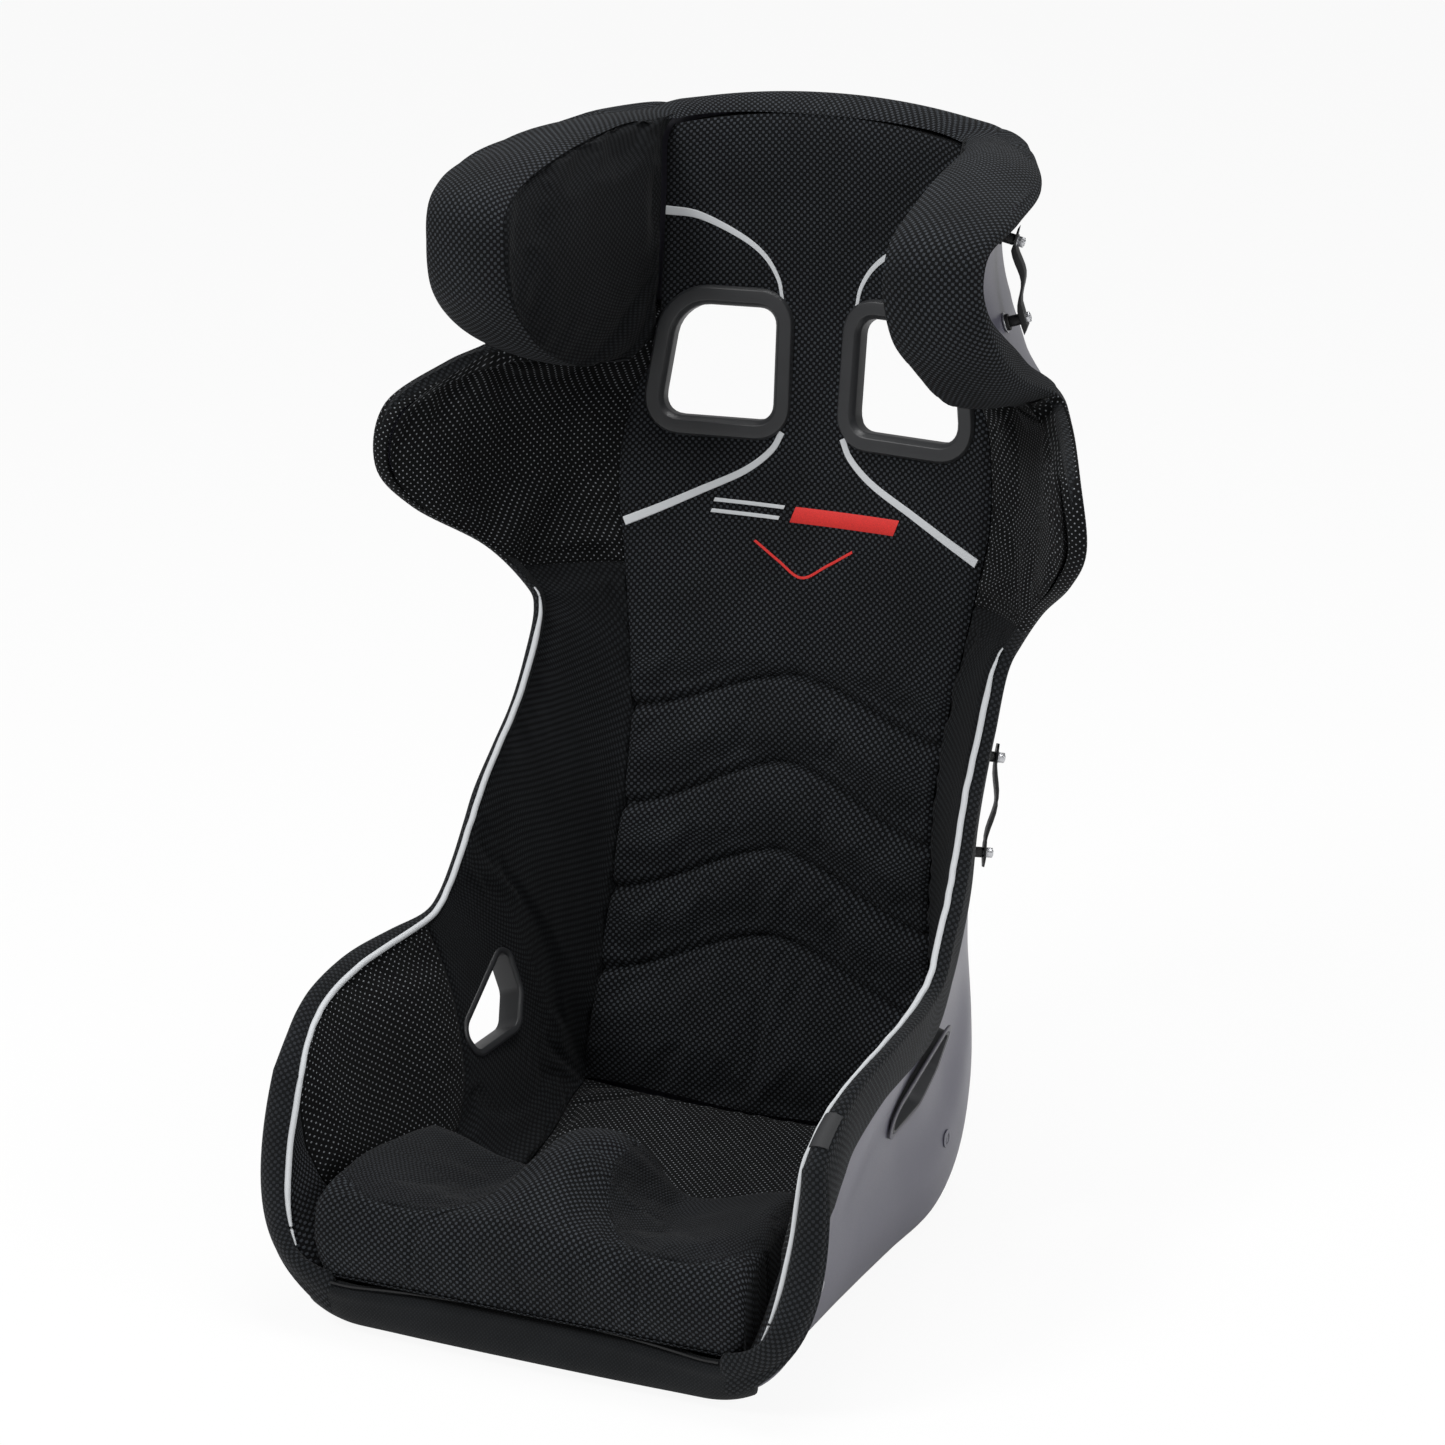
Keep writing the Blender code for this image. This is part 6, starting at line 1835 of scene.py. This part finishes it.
@dataclass
class Hardware(Piece):
    """Side-mount inserts, and the studs with their washers, spacers, straps and nuts."""

    insert_y: float = 86.0
    insert_pitch: float = 290.0
    insert_z: float = 66.0
    wing_studs: tuple = ((100.0, 811.0), (100.0, 743.0))
    waist_studs: tuple = ((166.0, 368.0), (141.0, 294.0))
    strap_width: float = 13.0
    strap_thick: float = 1.8
    bow: float = 5.0
    tail: float = 11.0

    def stand(self, side: Side, y: float, z: float) -> tuple[Array, Array]:
        """Point of the shell at this y and z, and the way out there."""
        s, v = BUCKET.spot(y, z)
        place = BUCKET.shell(s, v)
        axis = BUCKET.normal(BUCKET.shell, np.array(s), np.array(v))
        return place * side.flip, axis * side.flip

    def put(
        self,
        pattern: bpy.types.Object,
        name: str,
        place: Array,
        axis: Array,
        height: float,
        finish: Finish,
        nodes: tuple = (),
    ) -> None:
        """Copies a pattern part to a stud.

        Args:
            pattern: the part, standing on the origin along Z.
            name: the copy's name.
            place: the stud's foot.
            axis: the stud's way out.
            height: how high along the stud the part sits.
            finish: its finish.
            nodes: the CAD nodes the copy stands for.
        """
        copy = pattern.copy()
        copy.data = pattern.data.copy()
        copy.name = copy.data.name = name
        bpy.context.scene.collection.objects.link(copy)
        turn = Vector((0, 0, 1)).rotation_difference(Vector(axis)).to_matrix().to_4x4()
        copy.data.transform(Matrix.Translation(Vector((place + axis * height) * MM)) @ turn)
        self.keep(copy, finish, nodes)

    def strap(self, name: str, seats: list, node: str) -> None:
        """Bowed strap over two studs, drawn out edge by edge from a plane.

        Args:
            name: the piece's name.
            seats: place and axis of each stud where the strap lies.
            node: the CAD node it stands for.
        """
        (p0, a0), (p1, a1) = seats
        run = p1 - p0
        d0, d1 = unit(run - a0 * (run @ a0)), unit(run - a1 * (run @ a1))
        flat = 7.0
        start, end = p0 + d0 * flat, p1 - d1 * flat
        line = [p0 - d0 * self.tail, p0 - d0 * 5, p0 + d0 * 3, start]
        for f in np.linspace(0.1, 0.9, 9):
            axis = unit(a0 + (a1 - a0) * f)
            line.append(start + (end - start) * f + axis * self.bow * math.sin(math.pi * f) ** 2)
        line += [end, p1 - d1 * 3, p1 + d1 * 5, p1 + d1 * self.tail]
        wide = unit(np.cross(d0 + d1, a0 + a1)) * self.strap_width / 2
        bpy.ops.object.select_all(action="DESELECT")
        bpy.ops.mesh.primitive_plane_add(size=1.0)
        part = bpy.context.active_object
        corners = (line[0] - wide, line[0] + wide, line[1] - wide, line[1] + wide)
        for vertex, corner in zip(part.data.vertices, corners):
            vertex.co = Vector(corner * MM)
        bpy.ops.object.mode_set(mode="EDIT")
        bpy.ops.mesh.select_mode(type="EDGE")
        for here, there in zip(line[1:], line[2:]):
            work = bmesh.from_edit_mesh(part.data)
            ends = Vector(here - wide), Vector(here + wide)
            tips = sorted(work.verts, key=lambda v: min((v.co / MM - end).length for end in ends))[:2]
            for edge in work.edges:
                edge.select_set(False)
            for edge in work.edges:
                if set(edge.verts) == set(tips):
                    edge.select_set(True)
            bmesh.update_edit_mesh(part.data)
            bpy.ops.mesh.extrude_region_move(TRANSFORM_OT_translate={"value": tuple((there - here) * MM)})
        bpy.ops.object.mode_set(mode="OBJECT")
        thick = part.modifiers.new("thick", "SOLIDIFY")
        thick.thickness, thick.offset = self.strap_thick * MM, 0.0
        bpy.ops.object.modifier_apply(modifier="thick")
        bpy.ops.object.mode_set(mode="EDIT")
        self.keep(settle(part, name, Matrix.Identity(4), RUBBER, 0.4), RUBBER, (node,))

    def make(self) -> None:
        """All the small hard parts of both sides."""
        penny = drilled("penny_washer", 40, 8.0, 1.5, 2.7, ZINC)
        thick = drilled("thick_washer", 32, 6.5, 2.6, 2.7, RUBBER, 0.6)
        spacer = drilled("spacer", 28, 4.3, 8.4, 2.7, RUBBER, 0.5)
        thin = drilled("thin_washer", 28, 5.0, 0.9, 2.7, ZINC, 0.2)
        nut = drilled("nut", 6, 4.5, 5.0, 2.6, ZINC, 0.5)
        stud = drilled("stud", 20, 2.5, 24.0, 0.6, ZINC, 0.4)
        insert = drilled("insert", 40, 7.6, 0.7, 4.0, GREY_GELCOAT, 0.3)
        thread = drilled("insert_bush", 28, 6.4, 4.2, 3.4, ZINC, 0.3)
        patterns = (penny, thick, spacer, thin, nut, stud, insert, thread)
        seat, rest = 0.5, 13.9
        stack = (
            ("penny_washer", penny, seat, ZINC, "strap_spacer"),
            ("thick_washer", thick, seat + 1.5, RUBBER, None),
            ("spacer", spacer, seat + 4.1, RUBBER, None),
            ("thin_washer", thin, rest + 1.0, ZINC, None),
            ("nut", nut, rest + 1.9, ZINC, "strap_nut"),
            ("stud", stud, -2.6, ZINC, "strap_bolt"),
        )
        for side in Side:
            for label, spots in (("wing", self.wing_studs), ("waist", self.waist_studs)):
                seats = []
                for tag, (y, z) in zip(("top", "foot"), spots):
                    place, axis = self.stand(side, y, z)
                    stem = f"{label}_{side.label}_{tag}"
                    for kind, pattern, height, finish, node in stack:
                        nodes = (f"{node}_{stem}",) if node else ()
                        self.put(pattern, f"{kind}_{stem}", place, axis, height, finish, nodes)
                    seats.append((place + axis * rest, axis))
                self.strap(f"strap_{label}_{side.label}_band", seats, f"strap_{label}_{side.label}")
            for tag, y in (("rear", self.insert_y), ("front", self.insert_y - self.insert_pitch)):
                place, axis = self.stand(side, y, self.insert_z)
                node = f"side_insert_{tag}_{side.label}"
                self.put(thread, f"{node}_bush", place, axis, -4.0, ZINC, (node,))
                if tag == "rear":
                    self.put(insert, f"{node}_flange", place, axis, 0.2, GREY_GELCOAT)
        for pattern in patterns:
            bpy.data.objects.remove(pattern)


# Stage
@dataclass
class Stage:
    """Pale floor, soft lamps and the camera."""

    target: tuple = (28.0, 0.0, 428.0)
    distance: float = 3494.0
    azimuth: float = 25.78
    elevation: float = 19.01
    roll: float = -0.84
    lens: float = 111.6

    def floor(self) -> None:
        """Large pale floor whose seen colour is lifted to near white."""
        bpy.ops.object.select_all(action="DESELECT")
        bpy.ops.mesh.primitive_plane_add(size=60.0, location=(0, 0, -0.0006))
        plane = bpy.context.active_object
        plane.name = "studio_floor"
        paint = bpy.data.materials.new("matt_white_floor_paint")
        paint.use_nodes = True
        tree, shader = paint.node_tree, paint.node_tree.nodes["Principled BSDF"]
        shader.inputs["Base Color"].default_value = linear("f4f4f4")
        shader.inputs["Roughness"].default_value = 0.95
        shader.inputs["Specular IOR Level"].default_value = 0.1
        glow = add_node(tree, "Emission", {"Color": (1, 1, 1, 1), "Strength": 1.0})
        path = add_node(tree, "LightPath")
        share = add_node(tree, "Math", {0: path.outputs["Is Camera Ray"], 1: 0.92}, operation="MULTIPLY")
        mixed = add_node(tree, "MixShader", {0: share.outputs[0], 1: shader.outputs[0], 2: glow.outputs[0]})
        tree.links.new(mixed.outputs[0], tree.nodes["Material Output"].inputs["Surface"])
        plane.data.materials.append(paint)

    def lamp(self, name: str, place: tuple, aim: tuple, size: float, watts: float) -> None:
        """Square soft box.

        Args:
            name: the lamp's name.
            place: where it hangs, in metres.
            aim: the point it faces, in metres.
            size: its edge in metres.
            watts: its power.
        """
        data = bpy.data.lights.new(name, "AREA")
        data.shape, data.size, data.energy = "SQUARE", size, watts
        lamp = bpy.data.objects.new(name, data)
        lamp.location = place
        lamp.rotation_euler = (Vector(aim) - Vector(place)).to_track_quat("-Z", "Y").to_euler()
        bpy.context.scene.collection.objects.link(lamp)

    def light(self) -> None:
        """World fill and three soft boxes."""
        world = bpy.data.worlds.new("studio")
        world.use_nodes = True
        world.node_tree.nodes["Background"].inputs[0].default_value = (1, 1, 1, 1)
        world.node_tree.nodes["Background"].inputs[1].default_value = 0.34
        bpy.context.scene.world = world
        self.lamp("key", (-1.4, -2.0, 2.9), (0, 0, 0.45), 1.0, 56)
        self.lamp("side", (2.6, -0.6, 1.6), (0, 0, 0.45), 1.4, 22)
        self.lamp("top", (0.2, 0.3, 3.2), (0, 0, 0.4), 1.2, 42)

    def camera(self) -> None:
        """Camera at the photograph's viewpoint."""
        a, e, r = (math.radians(x) for x in (self.azimuth, self.elevation, self.roll))
        back = Vector((math.sin(a) * math.cos(e), -math.cos(a) * math.cos(e), math.sin(e)))
        right = Vector((math.cos(a), math.sin(a), 0))
        up = back.cross(right)
        turned_right = right * math.cos(r) + up * math.sin(r)
        turned_up = up * math.cos(r) - right * math.sin(r)
        place = Vector(self.target) * MM + back * self.distance * MM
        matrix = Matrix((turned_right, turned_up, back)).transposed().to_4x4()
        matrix.translation = place
        data = bpy.data.cameras.new("camera")
        data.lens, data.sensor_width = self.lens, 36.0
        data.clip_start, data.clip_end = 0.1, 100.0
        camera = bpy.data.objects.new("camera", data)
        camera.matrix_world = matrix
        bpy.context.scene.collection.objects.link(camera)
        bpy.context.scene.camera = camera

    def make(self) -> None:
        """The whole stage."""
        self.floor()
        self.light()
        self.camera()
        bpy.context.scene.view_settings.view_transform = "Standard"


def main() -> None:
    """Builds the seat piece by piece."""
    logging.basicConfig(level=logging.INFO, format="%(name)s: %(message)s")
    shell = Shell().make()
    cushion = BackCushion()
    back = cushion.make()
    base = BaseCushion()
    base.cut(shell, base.make())
    LegCushion().make()
    side_pads = WallPads().make()
    Slots().fit(shell, back, side_pads)
    EdgeRolls().make()
    HeadWings().make()
    FrontBand().make()
    Stripes().make(cushion)
    cushion.stitches()
    Hardware().make()
    Stage().make()


if __name__ == "__main__":
    main()
